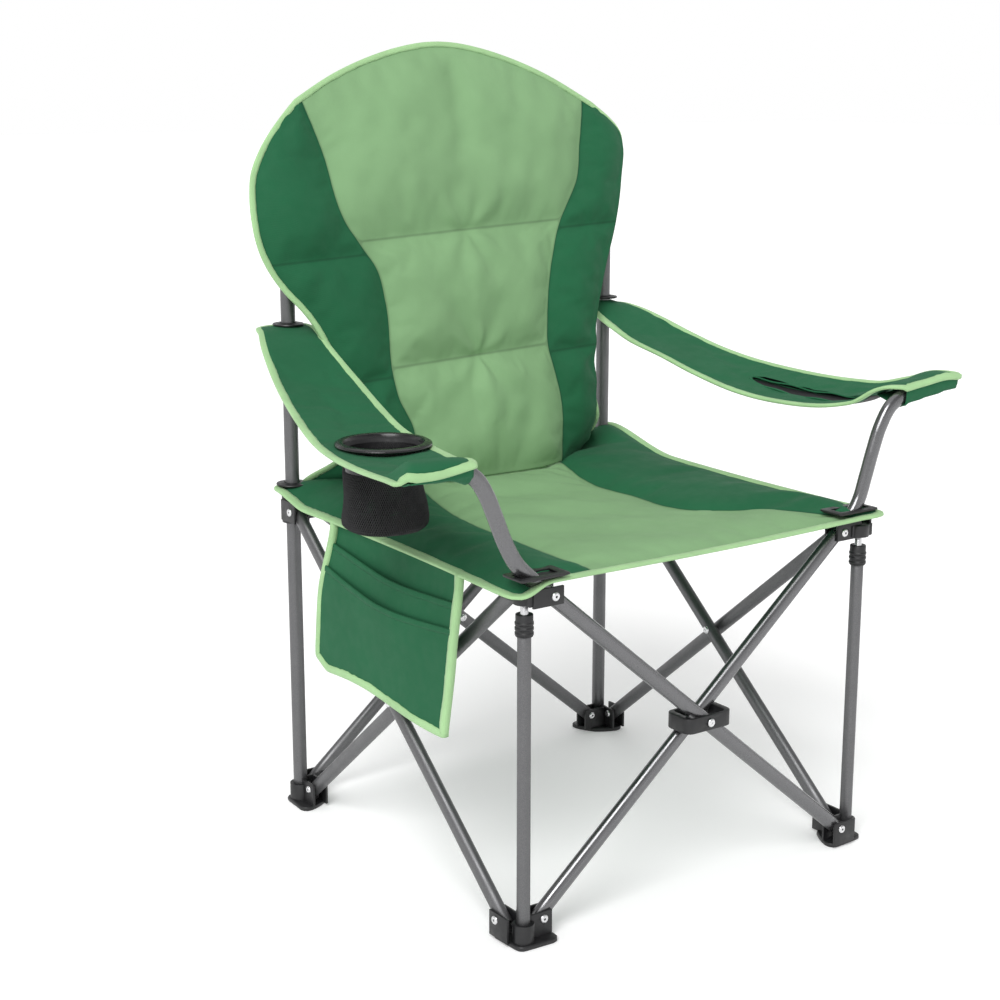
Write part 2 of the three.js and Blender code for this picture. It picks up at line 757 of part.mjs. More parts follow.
// ---- slot pocket under the right armrest --------------------------------------------------------------
function armPocket() {
  const at = (u, v) => {
    const y = THREE.MathUtils.lerp(-200, 10, v);
    const x = THREE.MathUtils.lerp(armInner(y) + 12, armInner(y) + 74, u);
    return new THREE.Vector3(x, y, armZ(y) - FABRIC / 2 - 3 - 7 * Math.sin(Math.PI * v) * Math.sin(Math.PI * u));
  };
  return sheet(at, new THREE.Vector3(0, 0, 1), 1.6, 4, 6);
}
add("right_arm_pocket", armPocket(), "mesh");

// ---- side pockets hanging from the seat's left edge ---------------------------------------------------
const POCKET = { x: -288, top: 424, bottom: 230, frontTop: -168, frontBottom: -144, rearTop: 128, rearBottom: 160 };

function pocketSheet(offset, frontMouth, rearMouth, thickness) {
  const at = (u, v) => {
    const mouth = THREE.MathUtils.lerp(rearMouth, frontMouth, u);
    const z = THREE.MathUtils.lerp(POCKET.bottom, mouth, v);
    const height = (z - POCKET.bottom) / (POCKET.top - POCKET.bottom);
    const front = THREE.MathUtils.lerp(POCKET.frontBottom, POCKET.frontTop, height);
    const rear = THREE.MathUtils.lerp(POCKET.rearBottom, POCKET.rearTop, height);
    return new THREE.Vector3(POCKET.x - offset, THREE.MathUtils.lerp(rear, front, u), z);
  };
  return sheet(at, new THREE.Vector3(1, 0, 0), thickness, 4, 3);
}
add("side_pocket_back", pocketSheet(0, POCKET.top, POCKET.top, 1.6), "dark");
add("side_pocket_upper", pocketSheet(3, 391, 404, 1.4), "dark");
add("side_pocket_lower", pocketSheet(6, 361, 374, 1.4), "dark");

export default chair;
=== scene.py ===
"""Folding camp chair: its looks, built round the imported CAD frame.

The scene is in metres. Shapes are worked out in plan millimetres: the CAD frame's axes, with Y measured from
the middle of the four legs. put() turns plan millimetres into the scene's metres.
"""

import json
import math

import bmesh
import bpy
import numpy as np
from mathutils import Matrix, Vector


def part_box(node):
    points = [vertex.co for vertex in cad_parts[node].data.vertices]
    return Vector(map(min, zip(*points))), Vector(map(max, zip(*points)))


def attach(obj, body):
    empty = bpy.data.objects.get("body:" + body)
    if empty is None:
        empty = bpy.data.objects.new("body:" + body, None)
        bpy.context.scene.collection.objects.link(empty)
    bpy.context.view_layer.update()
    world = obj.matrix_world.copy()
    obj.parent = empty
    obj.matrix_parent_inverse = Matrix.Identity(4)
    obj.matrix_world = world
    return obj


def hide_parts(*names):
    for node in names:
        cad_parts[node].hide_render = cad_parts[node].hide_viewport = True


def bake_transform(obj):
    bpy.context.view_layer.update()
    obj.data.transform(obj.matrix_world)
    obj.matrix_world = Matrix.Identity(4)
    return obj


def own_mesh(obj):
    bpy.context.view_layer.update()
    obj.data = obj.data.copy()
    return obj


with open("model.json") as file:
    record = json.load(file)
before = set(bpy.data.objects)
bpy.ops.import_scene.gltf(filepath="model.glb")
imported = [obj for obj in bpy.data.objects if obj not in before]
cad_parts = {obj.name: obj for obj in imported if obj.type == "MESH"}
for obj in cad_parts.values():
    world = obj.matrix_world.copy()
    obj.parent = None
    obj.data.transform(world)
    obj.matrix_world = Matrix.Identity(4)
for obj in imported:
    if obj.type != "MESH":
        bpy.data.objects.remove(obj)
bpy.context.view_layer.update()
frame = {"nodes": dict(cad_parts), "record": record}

# ---- driving dimensions, read from the frame ----------------------------------------------------------
MM = 0.001
joints = {j["name"]: j for j in frame["record"]["behaviour"]["joints"]}


def middle(node):
    low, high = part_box(node)
    return (low + high) / 2


post_axis = middle("rear_left_post")
leg_axis = middle("front_right_leg")
LEG = (leg_axis.x - post_axis.x) / 2 / MM
PLAN_Y = (leg_axis.y + post_axis.y) / 2 / MM


def plan(point):
    """A point of the CAD frame, in metres, as plan millimetres."""
    x, y, z = point
    return np.array([x / MM, y / MM - PLAN_Y, z / MM])


def put(points):
    """Plan millimetres as the scene's metres."""
    return (np.asarray(points, float) + [0, PLAN_Y, 0]) * MM


def pivot_of(joint):
    return plan(joints[joint]["pos_m"])


LOW = pivot_of("fold")[2]
HIGH = pivot_of("rear_right_slider_pivot")[2]
PIVOT = -pivot_of("fold")[0]
LANE = pivot_of("fold")[1] - LEG
POST_R = (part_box("rear_left_post")[1].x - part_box("rear_left_post")[0].x) / 2 / MM
TUBE_R = (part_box("left_cross_a")[1].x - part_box("left_cross_a")[0].x) / 2 / MM
TUBE_WALL = 1.2
OVAL = 1.18  # the crossing tubes and arm tubes are this much taller than they are wide
END = 9  # a cross tube runs this far past its pivots
LUG_OUT = 11.5  # a lug's outer face is this far from the middle of its tube
ROD_R = (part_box("front_left_leg_rod")[1].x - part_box("front_left_leg_rod")[0].x) / 2 / MM
CUP = plan(middle("cup_rim"))
RNG = np.random.default_rng(7)


# ---- curves and grids ---------------------------------------------------------------------------------
def smooth(*pairs):
    """A smooth curve through (input, output) pairs."""
    xs, ys = np.array(pairs, float).T
    slopes = np.gradient(ys, xs)

    def value(x):
        x = np.clip(x, xs[0], xs[-1])
        i = np.clip(np.searchsorted(xs, x) - 1, 0, len(xs) - 2)
        h = xs[i + 1] - xs[i]
        t = (x - xs[i]) / h
        start = (2 * t**3 - 3 * t**2 + 1) * ys[i] + (t**3 - 2 * t**2 + t) * h * slopes[i]
        return start + (-2 * t**3 + 3 * t**2) * ys[i + 1] + (t**3 - t**2) * h * slopes[i + 1]

    return value


def step(x, low, high):
    """0 below low, 1 above high, and smooth between."""
    t = np.clip((np.asarray(x, float) - low) / (high - low), 0, 1)
    return t * t * (3 - 2 * t)


def unit(v):
    return v / np.maximum(np.linalg.norm(v, axis=-1, keepdims=True), 1e-9)


def normals(grid, facing):
    """Unit normals of a [row, column, xyz] grid, on the side that looks along facing."""
    across = np.gradient(grid, axis=1)
    along = np.gradient(grid, axis=0)
    n = unit(np.cross(across, along))
    return n if (n @ np.array(facing, float)).mean() > 0 else -n


def run_along(grid, axis):
    """Each point's distance from the first point of its row (axis 1) or its column (axis 0)."""
    steps = np.linalg.norm(np.diff(grid, axis=axis), axis=2)
    return np.concatenate([np.zeros_like(np.take(steps, [0], axis)), steps.cumsum(axis)], axis)


def flat_size(grid):
    """Each point's place on the flat cloth: its run along its row and up its column."""
    u, v = run_along(grid, 1), run_along(grid, 0)
    return np.stack([u - u[:, u.shape[1] // 2, None], v], 2)


def edge_of(grid):
    """The points round a grid's edge, in order, and the way from each one to its inner neighbour."""
    rows, cols = grid.shape[:2]
    ring = [(0, c) for c in range(cols)]
    ring += [(r, cols - 1) for r in range(1, rows)]
    ring += [(rows - 1, c) for c in range(cols - 2, -1, -1)]
    ring += [(r, 0) for r in range(rows - 2, 0, -1)]
    return with_inner(grid, ring)


def with_inner(grid, ring):
    """The grid's points at the ring's (row, column) places, and the way from each to its inner neighbour."""
    last_row, last_col = grid.shape[0] - 2, grid.shape[1] - 2
    points = np.array([grid[place] for place in ring])
    inner = np.array([grid[min(max(r, 1), last_row), min(max(c, 1), last_col)] for r, c in ring])
    return points, inner - points


def side_name(side):
    return "left" if side < 0 else "right"


# ---- meshes -------------------------------------------------------------------------------------------
def mesh_object(name, points, faces, material, uv=None, values=None):
    mesh = bpy.data.meshes.new(name)
    mesh.from_pydata(put(points).tolist(), [], faces)
    mesh.polygons.foreach_set("use_smooth", [True] * len(mesh.polygons))
    if uv is not None:
        layer = mesh.uv_layers.new(name="UVMap")
        corners = np.zeros(len(mesh.loops), int)
        mesh.loops.foreach_get("vertex_index", corners)
        layer.data.foreach_set("uv", (np.asarray(uv, float)[corners] * MM).astype(np.float32).ravel())
    for key, data in (values or {}).items():
        mesh.attributes.new(key, "FLOAT", "POINT").data.foreach_set("value", np.asarray(data, np.float32))
    mesh.validate()
    obj = bpy.data.objects.new(name, mesh)
    bpy.context.scene.collection.objects.link(obj)
    obj.data.materials.append(material)
    return obj


def grid_faces(index, flip=False):
    a, b, c, d = index[:-1, :-1], index[:-1, 1:], index[1:, 1:], index[1:, :-1]
    quads = np.stack([a, b, c, d], -1).reshape(-1, 4)
    return (quads[:, ::-1] if flip else quads).tolist()


def settle(obj):
    """Applies the modifiers."""
    bpy.context.view_layer.update()
    done = bpy.data.meshes.new_from_object(obj.evaluated_get(bpy.context.evaluated_depsgraph_get()))
    done.name = obj.name
    obj.modifiers.clear()
    obj.data = done


def subdivide(obj):
    modifier = obj.modifiers.new("subdivide", "SUBSURF")
    modifier.levels = modifier.render_levels = 1
    settle(obj)


def thicken(obj, thickness):
    modifier = obj.modifiers.new("thickness", "SOLIDIFY")
    modifier.thickness = thickness * MM
    modifier.offset = 0
    settle(obj)


def bevel(obj, width):
    modifier = obj.modifiers.new("bevel", "BEVEL")
    modifier.width = width * MM
    modifier.segments = 2
    modifier.limit_method = "ANGLE"
    modifier.angle_limit = math.radians(35)
    modifier.harden_normals = True


def cloth_sheet(name, points, material, thickness):
    """A thin sheet over a [row, column, xyz] grid of points."""
    index = np.arange(points.shape[0] * points.shape[1]).reshape(points.shape[:2])
    uv = flat_size(points).reshape(-1, 2)
    obj = mesh_object(name, points.reshape(-1, 3), grid_faces(index), material, uv)
    thicken(obj, thickness)
    return obj


def joined(name, objects):
    """One object out of several."""
    with bpy.context.temp_override(
        active_object=objects[0], selected_objects=objects, selected_editable_objects=objects
    ):
        bpy.ops.object.join()
    objects[0].name = objects[0].data.name = name
    return objects[0]


def tangents(path, closed):
    if closed:
        return unit(np.roll(path, -1, 0) - np.roll(path, 1, 0))
    return unit(np.gradient(path, axis=0))


def sweep(name, path, ups, profile, material, closed):
    """A closed profile carried along a path: for each of its points, (side, up) pairs and an up direction."""
    tangent = tangents(path, closed)
    ups = unit(ups - tangent * (ups * tangent).sum(1, keepdims=True))
    side = np.cross(tangent, ups)
    points = path[:, None] + side[:, None] * profile[:, :, :1] + ups[:, None] * profile[:, :, 1:2]
    count, around = points.shape[:2]
    index = np.arange(count * around).reshape(count, around)
    index = np.concatenate([index, index[:, :1]], 1)
    if closed:
        index = np.concatenate([index, index[:1]], 0)
    faces = grid_faces(index)
    if not closed:
        faces.append(index[0, :-1].tolist())
        faces.append(index[-1, :-1][::-1].tolist())
    length = np.concatenate([[0], np.linalg.norm(np.diff(path, axis=0), axis=1).cumsum()])
    uv = np.stack([np.repeat(length, around), np.tile(np.arange(around) * 2.0, count)], 1)
    obj = mesh_object(name, points.reshape(-1, 3), faces, material, uv)
    fix_normals(obj)
    return obj


def fix_normals(obj):
    bm = bmesh.new()
    bm.from_mesh(obj.data)
    bmesh.ops.recalc_face_normals(bm, faces=bm.faces)
    bm.to_mesh(obj.data)
    bm.free()


def circle(radius, sides):
    turn = np.arange(sides) * 2 * math.pi / sides
    return np.stack([radius * np.cos(turn), radius * np.sin(turn)], 1)


def turned(name, centre, axis, outline, material, sides=40):
    """A solid turned about an axis through centre. outline is (radius, distance along the axis) pairs."""
    axis = unit(np.array(axis, float))
    side = unit(np.cross(axis, [0.3, 0.5, 0.9] if abs(axis[2]) < 0.9 else [1, 0, 0]))
    other = np.cross(axis, side)
    outline = np.asarray(outline, float)
    turn = circle(1, sides)
    radial = turn[:, :1] * side + turn[:, 1:] * other
    points = centre + outline[:, None, 1:] * axis + outline[:, None, :1] * radial[None]
    index = np.arange(points.shape[0] * sides).reshape(-1, sides)
    index = np.concatenate([index, index[:, :1]], 1)
    faces = grid_faces(index)
    obj = mesh_object(name, points.reshape(-1, 3), faces, material)
    bm = bmesh.new()
    bm.from_mesh(obj.data)
    bmesh.ops.remove_doubles(bm, verts=bm.verts, dist=1e-6)
    bmesh.ops.holes_fill(bm, edges=bm.edges)
    bmesh.ops.recalc_face_normals(bm, faces=bm.faces)
    bm.to_mesh(obj.data)
    bm.free()
    return obj


def sharp_by_angle(obj, degrees=40):
    for p in obj.data.polygons:
        p.use_smooth = True
    bm = bmesh.new()
    bm.from_mesh(obj.data)
    for edge in bm.edges:
        edge.smooth = len(edge.link_faces) == 2 and edge.calc_face_angle(0) < math.radians(degrees)
    bm.to_mesh(obj.data)
    bm.free()


# ---- materials ----------------------------------------------------------------------------------------
def set_range(node, numbers):
    """Sets a Map Range node from (from low, from high, to low, to high)."""
    node.interpolation_type = "SMOOTHSTEP"
    for key, number in zip(("From Min", "From Max", "To Min", "To Max"), numbers):
        node.inputs[key].default_value = number


class Paint:
    """A Principled material with short calls for its nodes."""

    def __init__(self, name, colour, roughness, metallic=0.0):
        self.material = bpy.data.materials.new(name)
        self.material.use_nodes = True
        self.nodes = self.material.node_tree.nodes
        self.links = self.material.node_tree.links
        self.shader = self.nodes["Principled BSDF"]
        self.shader.inputs["Base Color"].default_value = (*colour, 1)
        self.shader.inputs["Roughness"].default_value = roughness
        self.shader.inputs["Metallic"].default_value = metallic

    def socket(self, target, value):
        if isinstance(value, bpy.types.NodeSocket):
            self.links.new(value, target)
        else:
            target.default_value = value

    def math(self, operation, a, b=0.0):
        node = self.nodes.new("ShaderNodeMath")
        node.operation = operation
        self.socket(node.inputs[0], a)
        self.socket(node.inputs[1], b)
        return node.outputs[0]

    def band(self, value, low, high, out_low=0.0, out_high=1.0):
        node = self.nodes.new("ShaderNodeMapRange")
        set_range(node, (low, high, out_low, out_high))
        self.socket(node.inputs["Value"], value)
        return node.outputs["Result"]

    def noise(self, scale, detail=3.0, where="Object"):
        place = self.nodes.new("ShaderNodeTexCoord").outputs[where]
        node = self.nodes.new("ShaderNodeTexNoise")
        self.links.new(place, node.inputs["Vector"])
        node.inputs["Scale"].default_value = scale
        node.inputs["Detail"].default_value = detail
        return node.outputs["Fac"]

    def uv(self):
        place = self.nodes.new("ShaderNodeTexCoord").outputs["UV"]
        split = self.nodes.new("ShaderNodeSeparateXYZ")
        self.links.new(place, split.inputs[0])
        return split.outputs["X"], split.outputs["Y"]

    def attribute(self, name):
        node = self.nodes.new("ShaderNodeAttribute")
        node.attribute_name = name
        return node.outputs["Fac"]

    def mix(self, factor, a, b, blend="MIX"):
        node = self.nodes.new("ShaderNodeMix")
        node.data_type = "RGBA"
        node.blend_type = blend
        self.socket(node.inputs["Factor"], factor)
        self.socket(node.inputs["A"], (*a, 1) if isinstance(a, tuple) else a)
        self.socket(node.inputs["B"], (*b, 1) if isinstance(b, tuple) else b)
        return node.outputs["Result"]

    def shade(self, colour, factor):
        """colour times a number socket."""
        grey = self.nodes.new("ShaderNodeCombineColor")
        for i in range(3):
            self.links.new(factor, grey.inputs[i])
        return self.mix(1.0, colour, grey.outputs[0], "MULTIPLY")

    def plain(self, colour):
        """A fixed colour as a socket."""
        return self.mix(0.0, colour, colour)

    def colour(self, value):
        self.links.new(value, self.shader.inputs["Base Color"])

    def roughness(self, value):
        self.links.new(value, self.shader.inputs["Roughness"])

    def bump(self, height, distance, strength=1.0):
        node = self.nodes.new("ShaderNodeBump")
        node.inputs["Distance"].default_value = distance
        node.inputs["Strength"].default_value = strength
        self.links.new(height, node.inputs["Height"])
        self.links.new(node.outputs["Normal"], self.shader.inputs["Normal"])

    def sheen(self, weight, roughness=0.5):
        self.shader.inputs["Sheen Weight"].default_value = weight
        self.shader.inputs["Sheen Roughness"].default_value = roughness


YARN = 0.0009  # one yarn of the woven cloth, in metres
RIB = 0.0014  # one rib of the binding tape, in metres


def weave(paint):
    """Height of a plain weave over the cloth's flat coordinates."""
    u, v = paint.uv()
    a = paint.math("SINE", paint.math("MULTIPLY", u, math.pi / YARN))
    b = paint.math("SINE", paint.math("MULTIPLY", v, math.pi / YARN))
    return paint.math("MULTIPLY_ADD", paint.math("MULTIPLY", a, b), 0.5)


def cloth_paint(name, light, dark=None):
    """Woven polyester. Where the mesh's panel value is above 0 it is the dark colour. Within a few mm of a
    seam the colour is darkened: painted shade in the seam grooves.
    """
    paint = Paint(name, light, 0.72)
    height = weave(paint)
    if dark is None:
        colour = paint.plain(light)
    else:
        colour = paint.mix(paint.band(paint.attribute("panel"), -0.4, 0.4), light, dark)
        # painted shade: the colour darkens towards each seam line, where its groove would lie in shadow
        seam_painted_shade = paint.band(paint.attribute("seam"), 0.4, 3.0, 0.72, 1.0)
        colour = paint.shade(colour, seam_painted_shade)
    colour = paint.shade(colour, paint.band(paint.noise(9), 0.3, 0.7, 0.95, 1.05))
    colour = paint.shade(colour, paint.band(height, 0.0, 1.0, 0.88, 1.06))
    paint.colour(colour)
    paint.roughness(paint.band(paint.noise(60), 0.3, 0.7, 0.74, 0.86))
    paint.bump(height, 0.00016, 0.55)
    paint.sheen(0.03)
    paint.shader.inputs["Specular IOR Level"].default_value = 0.22
    return paint.material


def tape_paint(name, colour):
    """Ribbed binding tape."""
    paint = Paint(name, colour, 0.75)
    along = paint.uv()[0]
    rib = paint.math("SINE", paint.math("MULTIPLY", along, 2 * math.pi / RIB))
    tone = paint.shade(paint.plain(colour), paint.band(rib, -1.0, 1.0, 0.93, 1.05))
    paint.colour(paint.shade(tone, paint.band(paint.noise(25), 0.3, 0.7, 0.93, 1.05)))
    paint.bump(rib, 0.00012, 0.5)
    paint.sheen(0.1)
    return paint.material


def metal_paint(name, colour, roughness, metallic, flake):
    paint = Paint(name, colour, roughness, metallic)
    speck = paint.noise(900, 2.0)
    paint.colour(paint.shade(paint.plain(colour), paint.band(speck, 0.35, 0.65, 1 - flake, 1 + flake)))
    paint.roughness(paint.band(paint.noise(35, 4.0), 0.3, 0.7, roughness - 0.05, roughness + 0.07))
    paint.bump(speck, 0.00006, 0.35)
    return paint.material


def plastic_paint(name, colour, roughness, grain=0.00008):
    paint = Paint(name, colour, roughness)
    speck = paint.noise(1400, 2.0)
    paint.colour(paint.shade(paint.plain(colour), paint.band(paint.noise(20), 0.3, 0.7, 0.85, 1.15)))
    paint.roughness(paint.band(paint.noise(120), 0.3, 0.7, roughness - 0.06, roughness + 0.08))
    paint.bump(speck, grain, 0.5)
    return paint.material


LIGHT_GREEN = (0.200, 0.352, 0.173)
DARK_GREEN = (0.0125, 0.108, 0.045)
TAPE_GREEN = (0.32, 0.53, 0.255)

PADDED = cloth_paint("padded_cloth", LIGHT_GREEN, DARK_GREEN)
DARK = cloth_paint("dark_cloth", DARK_GREEN)
TAPE = tape_paint("binding_tape", TAPE_GREEN)
GREY_TUBE = metal_paint("grey_powder_coat", (0.145, 0.145, 0.149), 0.42, 0.75, 0.10)
ARM_TUBE = metal_paint("silver_powder_coat", (0.17, 0.17, 0.175), 0.24, 0.9, 0.08)
BRIGHT = metal_paint("zinc_plate", (0.72, 0.72, 0.73), 0.25, 1.0, 0.05)
PLASTIC = plastic_paint("black_plastic", (0.010, 0.010, 0.011), 0.42)
RIM_PLASTIC = plastic_paint("black_rim_plastic", (0.006, 0.006, 0.007), 0.26, 0.00004)
MESH = plastic_paint("black_mesh", (0.008, 0.008, 0.009), 0.6)


# ---- padded panels ------------------------------------------------------------------------------------
CLOTH_FRAMES = 20
PAD_GAP = 2.4  # the least distance between a pad's two cloths
REAR_HALF = 3.5  # the most that a pad's rear cloth starts behind its middle


def inflate(obj, pinned, slack, pressure, cap):
    """Swells a sewn pad by cloth simulation.

    pinned holds a weight for each vertex, and cap how far each may go.
    """
    group = obj.vertex_groups.new(name="pinned")
    for weight in np.unique(pinned[pinned > 0]):
        group.add(np.nonzero(pinned == weight)[0].tolist(), float(weight), "REPLACE")
    cloth = obj.modifiers.new("cloth", "CLOTH")
    settings = cloth.settings
    settings.quality = 6
    settings.mass = 0.15
    settings.tension_stiffness = settings.compression_stiffness = 12
    settings.shear_stiffness = 3
    settings.bending_stiffness = 1.5
    settings.use_pressure = True
    settings.uniform_pressure_force = pressure
    settings.vertex_group_mass = "pinned"
    settings.shrink_min = -slack
    settings.effector_weights.gravity = 0
    cloth.collision_settings.use_self_collision = False
    cloth.point_cache.frame_start = 1
    cloth.point_cache.frame_end = CLOTH_FRAMES
    scene = bpy.context.scene
    start = np.zeros(len(obj.data.vertices) * 3)
    obj.data.vertices.foreach_get("co", start)
    for number in range(1, CLOTH_FRAMES + 1):
        scene.frame_set(number)
    grown = obj.evaluated_get(bpy.context.evaluated_depsgraph_get()).to_mesh()
    end = np.zeros_like(start)
    grown.vertices.foreach_get("co", end)
    obj.modifiers.remove(cloth)
    obj.vertex_groups.remove(group)
    scene.frame_set(1)
    move = (end - start).reshape(-1, 3)
    length = np.linalg.norm(move, axis=1)
    limit = cap * MM
    eased = limit * np.tanh(length / limit)
    move *= (eased / np.maximum(length, 1e-9))[:, None]
    obj.data.vertices.foreach_set("co", (start.reshape(-1, 3) + move).ravel())
    obj.data.update()


def pad(name, grid, facing, half, pinned, panel, seam, slack, pressure, cap_front, cap_rear):
    """A sewn pad: two cloths that share their edge. half, pinned, panel and seam are [row, column]."""
    rows, cols = grid.shape[:2]
    n = normals(grid, facing)
    front = grid + n * half[..., None]
    rear = grid - n * np.minimum(half, REAR_HALF)[..., None]
    top = np.arange(rows * cols).reshape(rows, cols)
    under = top.copy()
    inner = np.zeros((rows, cols), bool)
    inner[1:-1, 1:-1] = True
    under[inner] = rows * cols + np.arange(inner.sum())
    points = np.concatenate([front.reshape(-1, 3), rear[inner]])
    flip = np.dot(np.cross(grid[1, 1] - grid[1, 0], grid[2, 0] - grid[1, 0]), facing) < 0

    def both(values, back):
        return np.concatenate([values.ravel(), np.broadcast_to(back, (rows, cols))[inner]])

    flat = flat_size(grid)
    obj = mesh_object(
        name,
        points,
        grid_faces(top, flip) + grid_faces(under, not flip),
        PADDED,
        uv=np.concatenate([flat.reshape(-1, 2), flat[inner]]),
        values={"panel": both(panel, 9.0), "seam": both(seam, 9.0)},
    )
    cap = both(np.full((rows, cols), cap_front), cap_rear)
    inflate(obj, both(pinned, np.where(pinned > 0.9, 1.0, 0.0)), slack, pressure, cap)
    keep_apart(obj, top[inner], under[inner], n[inner], PAD_GAP)
    subdivide(obj)
    return obj


def keep_apart(obj, front, rear, facing, gap):
    """Moves a pad's rear cloth back wherever it has come nearer to the front cloth than the gap."""
    points = np.array([plan(v.co) for v in obj.data.vertices])
    between = ((points[front] - points[rear]) * facing).sum(1)
    points[rear] -= facing * np.maximum(gap - between, 0)[:, None]
    obj.data.vertices.foreach_set("co", put(points).ravel())
    obj.data.update()


def edge_tape(name, points, inward, width, thick, closed=True):
    """Binding tape folded over a cloth's edge. points run along the edge; inward points into the cloth."""
    points = np.asarray(points, float)
    inward = unit(np.asarray(inward, float))
    tangent = tangents(points, closed)
    up = unit(np.cross(tangent, inward))
    wave = 1 + 0.04 * np.sin(np.arange(len(points)) * 0.5) + 0.03 * RNG.standard_normal(len(points))
    fold = [[-1.8, 0], [-1.3, 0.75], [0.3, 1.0]]
    reach = [[0.55, 1.0], [1.0, 0.8], [1.0, -0.8], [0.55, -1.0]]
    under = [[0.3, -1.0], [-1.3, -0.75]]
    profile = np.repeat(np.array(fold + reach + under)[None], len(points), 0)
    profile[:, :, 1] *= thick
    profile[:, 3:7, 0] *= (wave * width)[:, None]
    # sweep() measures "side" along tangent x up, which is the inward direction or its opposite
    sign = np.sign((np.cross(tangent, up) * inward).sum(1))[:, None]
    profile[:, :, 0] *= sign
    return sweep(name, points, up, profile, TAPE, closed)


def round_corner(grid, corner, centre, plane=(0, 1)):
    """Rounds a grid's square corner: points between centre and corner go onto a quarter disc."""
    a, b = plane
    reach_a, reach_b = corner[0] - centre[0], corner[1] - centre[1]
    u = (grid[..., a] - centre[0]) / reach_a
    v = (grid[..., b] - centre[1]) / reach_b
    inside = (u > 0) & (v > 0)
    uu, vv = np.clip(u, 0, 1), np.clip(v, 0, 1)
    grid[..., a] = np.where(inside, centre[0] + reach_a * u * np.sqrt(1 - vv**2 / 2), grid[..., a])
    grid[..., b] = np.where(inside, centre[1] + reach_b * v * np.sqrt(1 - uu**2 / 2), grid[..., b])


def tape_round(name, grid, width, thick):
    """Binding tape round all of a grid's edge."""
    return edge_tape(name, *evenly(*edge_of(grid)), width, thick)


def evenly(points, vectors, pitch=5.0, closed=True):
    """Points and their vectors, spaced evenly along the path."""
    loop = np.concatenate([points, points[:1]]) if closed else points
    extra = np.concatenate([vectors, vectors[:1]]) if closed else vectors
    extra = unit(extra)
    run = np.concatenate([[0], np.linalg.norm(np.diff(loop, axis=0), axis=1).cumsum()])
    count = max(int(run[-1] / pitch), 4)
    at = np.linspace(0, run[-1], count + (0 if closed else 1), endpoint=not closed)
    place = np.stack([np.interp(at, run, loop[:, i]) for i in range(3)], 1)
    turn = np.stack([np.interp(at, run, extra[:, i]) for i in range(3)], 1)
    return place, unit(turn)


# ---- seat ---------------------------------------------------------------------------------------------
SEAT_HALF = 290
SEAT_FRONT, SEAT_REAR = -290, 284
DARK_COLUMNS = 14
CENTRE_COLUMNS = 48
seat_panel_left = smooth(
    (-290, 178), (-251, 171), (-207, 170), (-129, 164), (-13, 158), (119, 134), (193, 118), (290, 115)
)
seat_panel_right = smooth(
    (-290, 258), (-240, 230), (-195, 212), (-158, 184), (-132, 150), (-105, 122), (-70, 110), (0, 112),
    (58, 106), (108, 106), (194, 128), (290, 130),
)
seat_rear_edge = smooth((0, 184), (100, 188), (180, 225), (240, 276), (286, 284))


def seat_z(x, y):
    """The seat hangs from its corners; the crease with the back holds its rear middle up."""
    base = np.interp(y, [-LEG, LEG], [442, 449])
    across = np.maximum(1 - (x / SEAT_HALF) ** 2, 0)
    along = np.maximum(1 - 0.55 * (y / LEG) ** 2, 0)
    sag = 15 * across * along * (1 - 0.75 * step(y, 60, 185))
    left_droop = 15 * step(-x, 240, 288) * (1 - step(y, 190, 262))
    right_lift = 26 * step(x, 190, 280) * step(y, 120, 285)
    return base - sag - left_droop + right_lift


def columns():
    """Each column's share of the way out to its seam (-1 to 1), and on over its dark panel (0 to 1)."""
    out = np.linspace(1, 0, DARK_COLUMNS, endpoint=False)
    mid = np.linspace(-1, 1, CENTRE_COLUMNS + 1)
    share = np.concatenate([-np.ones(DARK_COLUMNS), mid, np.ones(DARK_COLUMNS)])
    over = np.concatenate([out, np.zeros(CENTRE_COLUMNS + 1), out[::-1]])
    return share, over


SHARE, OVER = columns()
LEFT_SEAM = DARK_COLUMNS
RIGHT_SEAM = DARK_COLUMNS + CENTRE_COLUMNS


def seat_grid(front_rows=26, rear_rows=26):
    rough = np.abs(SHARE) * 150 + OVER * (SEAT_HALF - 150)
    front = SEAT_FRONT + 14 * (1 - (rough / SEAT_HALF) ** 2)
    rear = seat_rear_edge(rough)
    y = [front * (1 - v) for v in np.linspace(0, 1, front_rows, endpoint=False)]
    y += [rear * v for v in np.linspace(0, 1, rear_rows + 1)]
    y = np.array(y)
    side = SEAT_HALF - 7 * np.maximum(1 - (y / 240) ** 2, 0)
    seam = np.where(SHARE < 0, seat_panel_left(y), seat_panel_right(y))
    side = side + np.where(SHARE > 0, 6 * (1 - step(y, -284, -200)), 0)
    x = SHARE * seam + np.sign(SHARE) * OVER * (side - seam)
    grid = np.stack([x, y, np.zeros_like(x)], 2)
    for sign in (-1, 1):
        round_corner(grid, (sign * SEAT_HALF, SEAT_FRONT), (sign * 262, SEAT_FRONT + 24))
        round_corner(grid, (sign * SEAT_HALF, SEAT_REAR), (sign * 262, SEAT_REAR - 24))
    grid[..., 2] = seat_z(grid[..., 0], grid[..., 1])
    return grid, front_rows


def edge_pins(grid):
    """Weights that hold a pad's edge and the seam allowance inside it."""
    held = np.ones(grid.shape[:2])
    held[2:-2, 2:-2] = 0
    return held


def pins(grid, seams):
    """Weights that hold a pad's edge and its seams."""
    held = edge_pins(grid)
    for row, first, last in seams:
        held[row, first : last + 1] = 1
    held[:, LEFT_SEAM] = held[:, RIGHT_SEAM] = 1
    return held


def puff(grid, held, height, reach, seed):
    """How far a pad's face stands off its middle: it rises from its seams and edge, and rolls softly."""
    fixed = grid[held > 0.9]
    flat = grid.reshape(-1, 3)
    away = np.array([np.sqrt(((fixed - point) ** 2).sum(1).min()) for point in flat])
    rise = 1 - np.exp(-away.reshape(grid.shape[:2]) / reach)
    return height * rise * (1 + 0.26 * rolling(grid, 120, seed) + 0.07 * rolling(grid, 50, seed + 1))


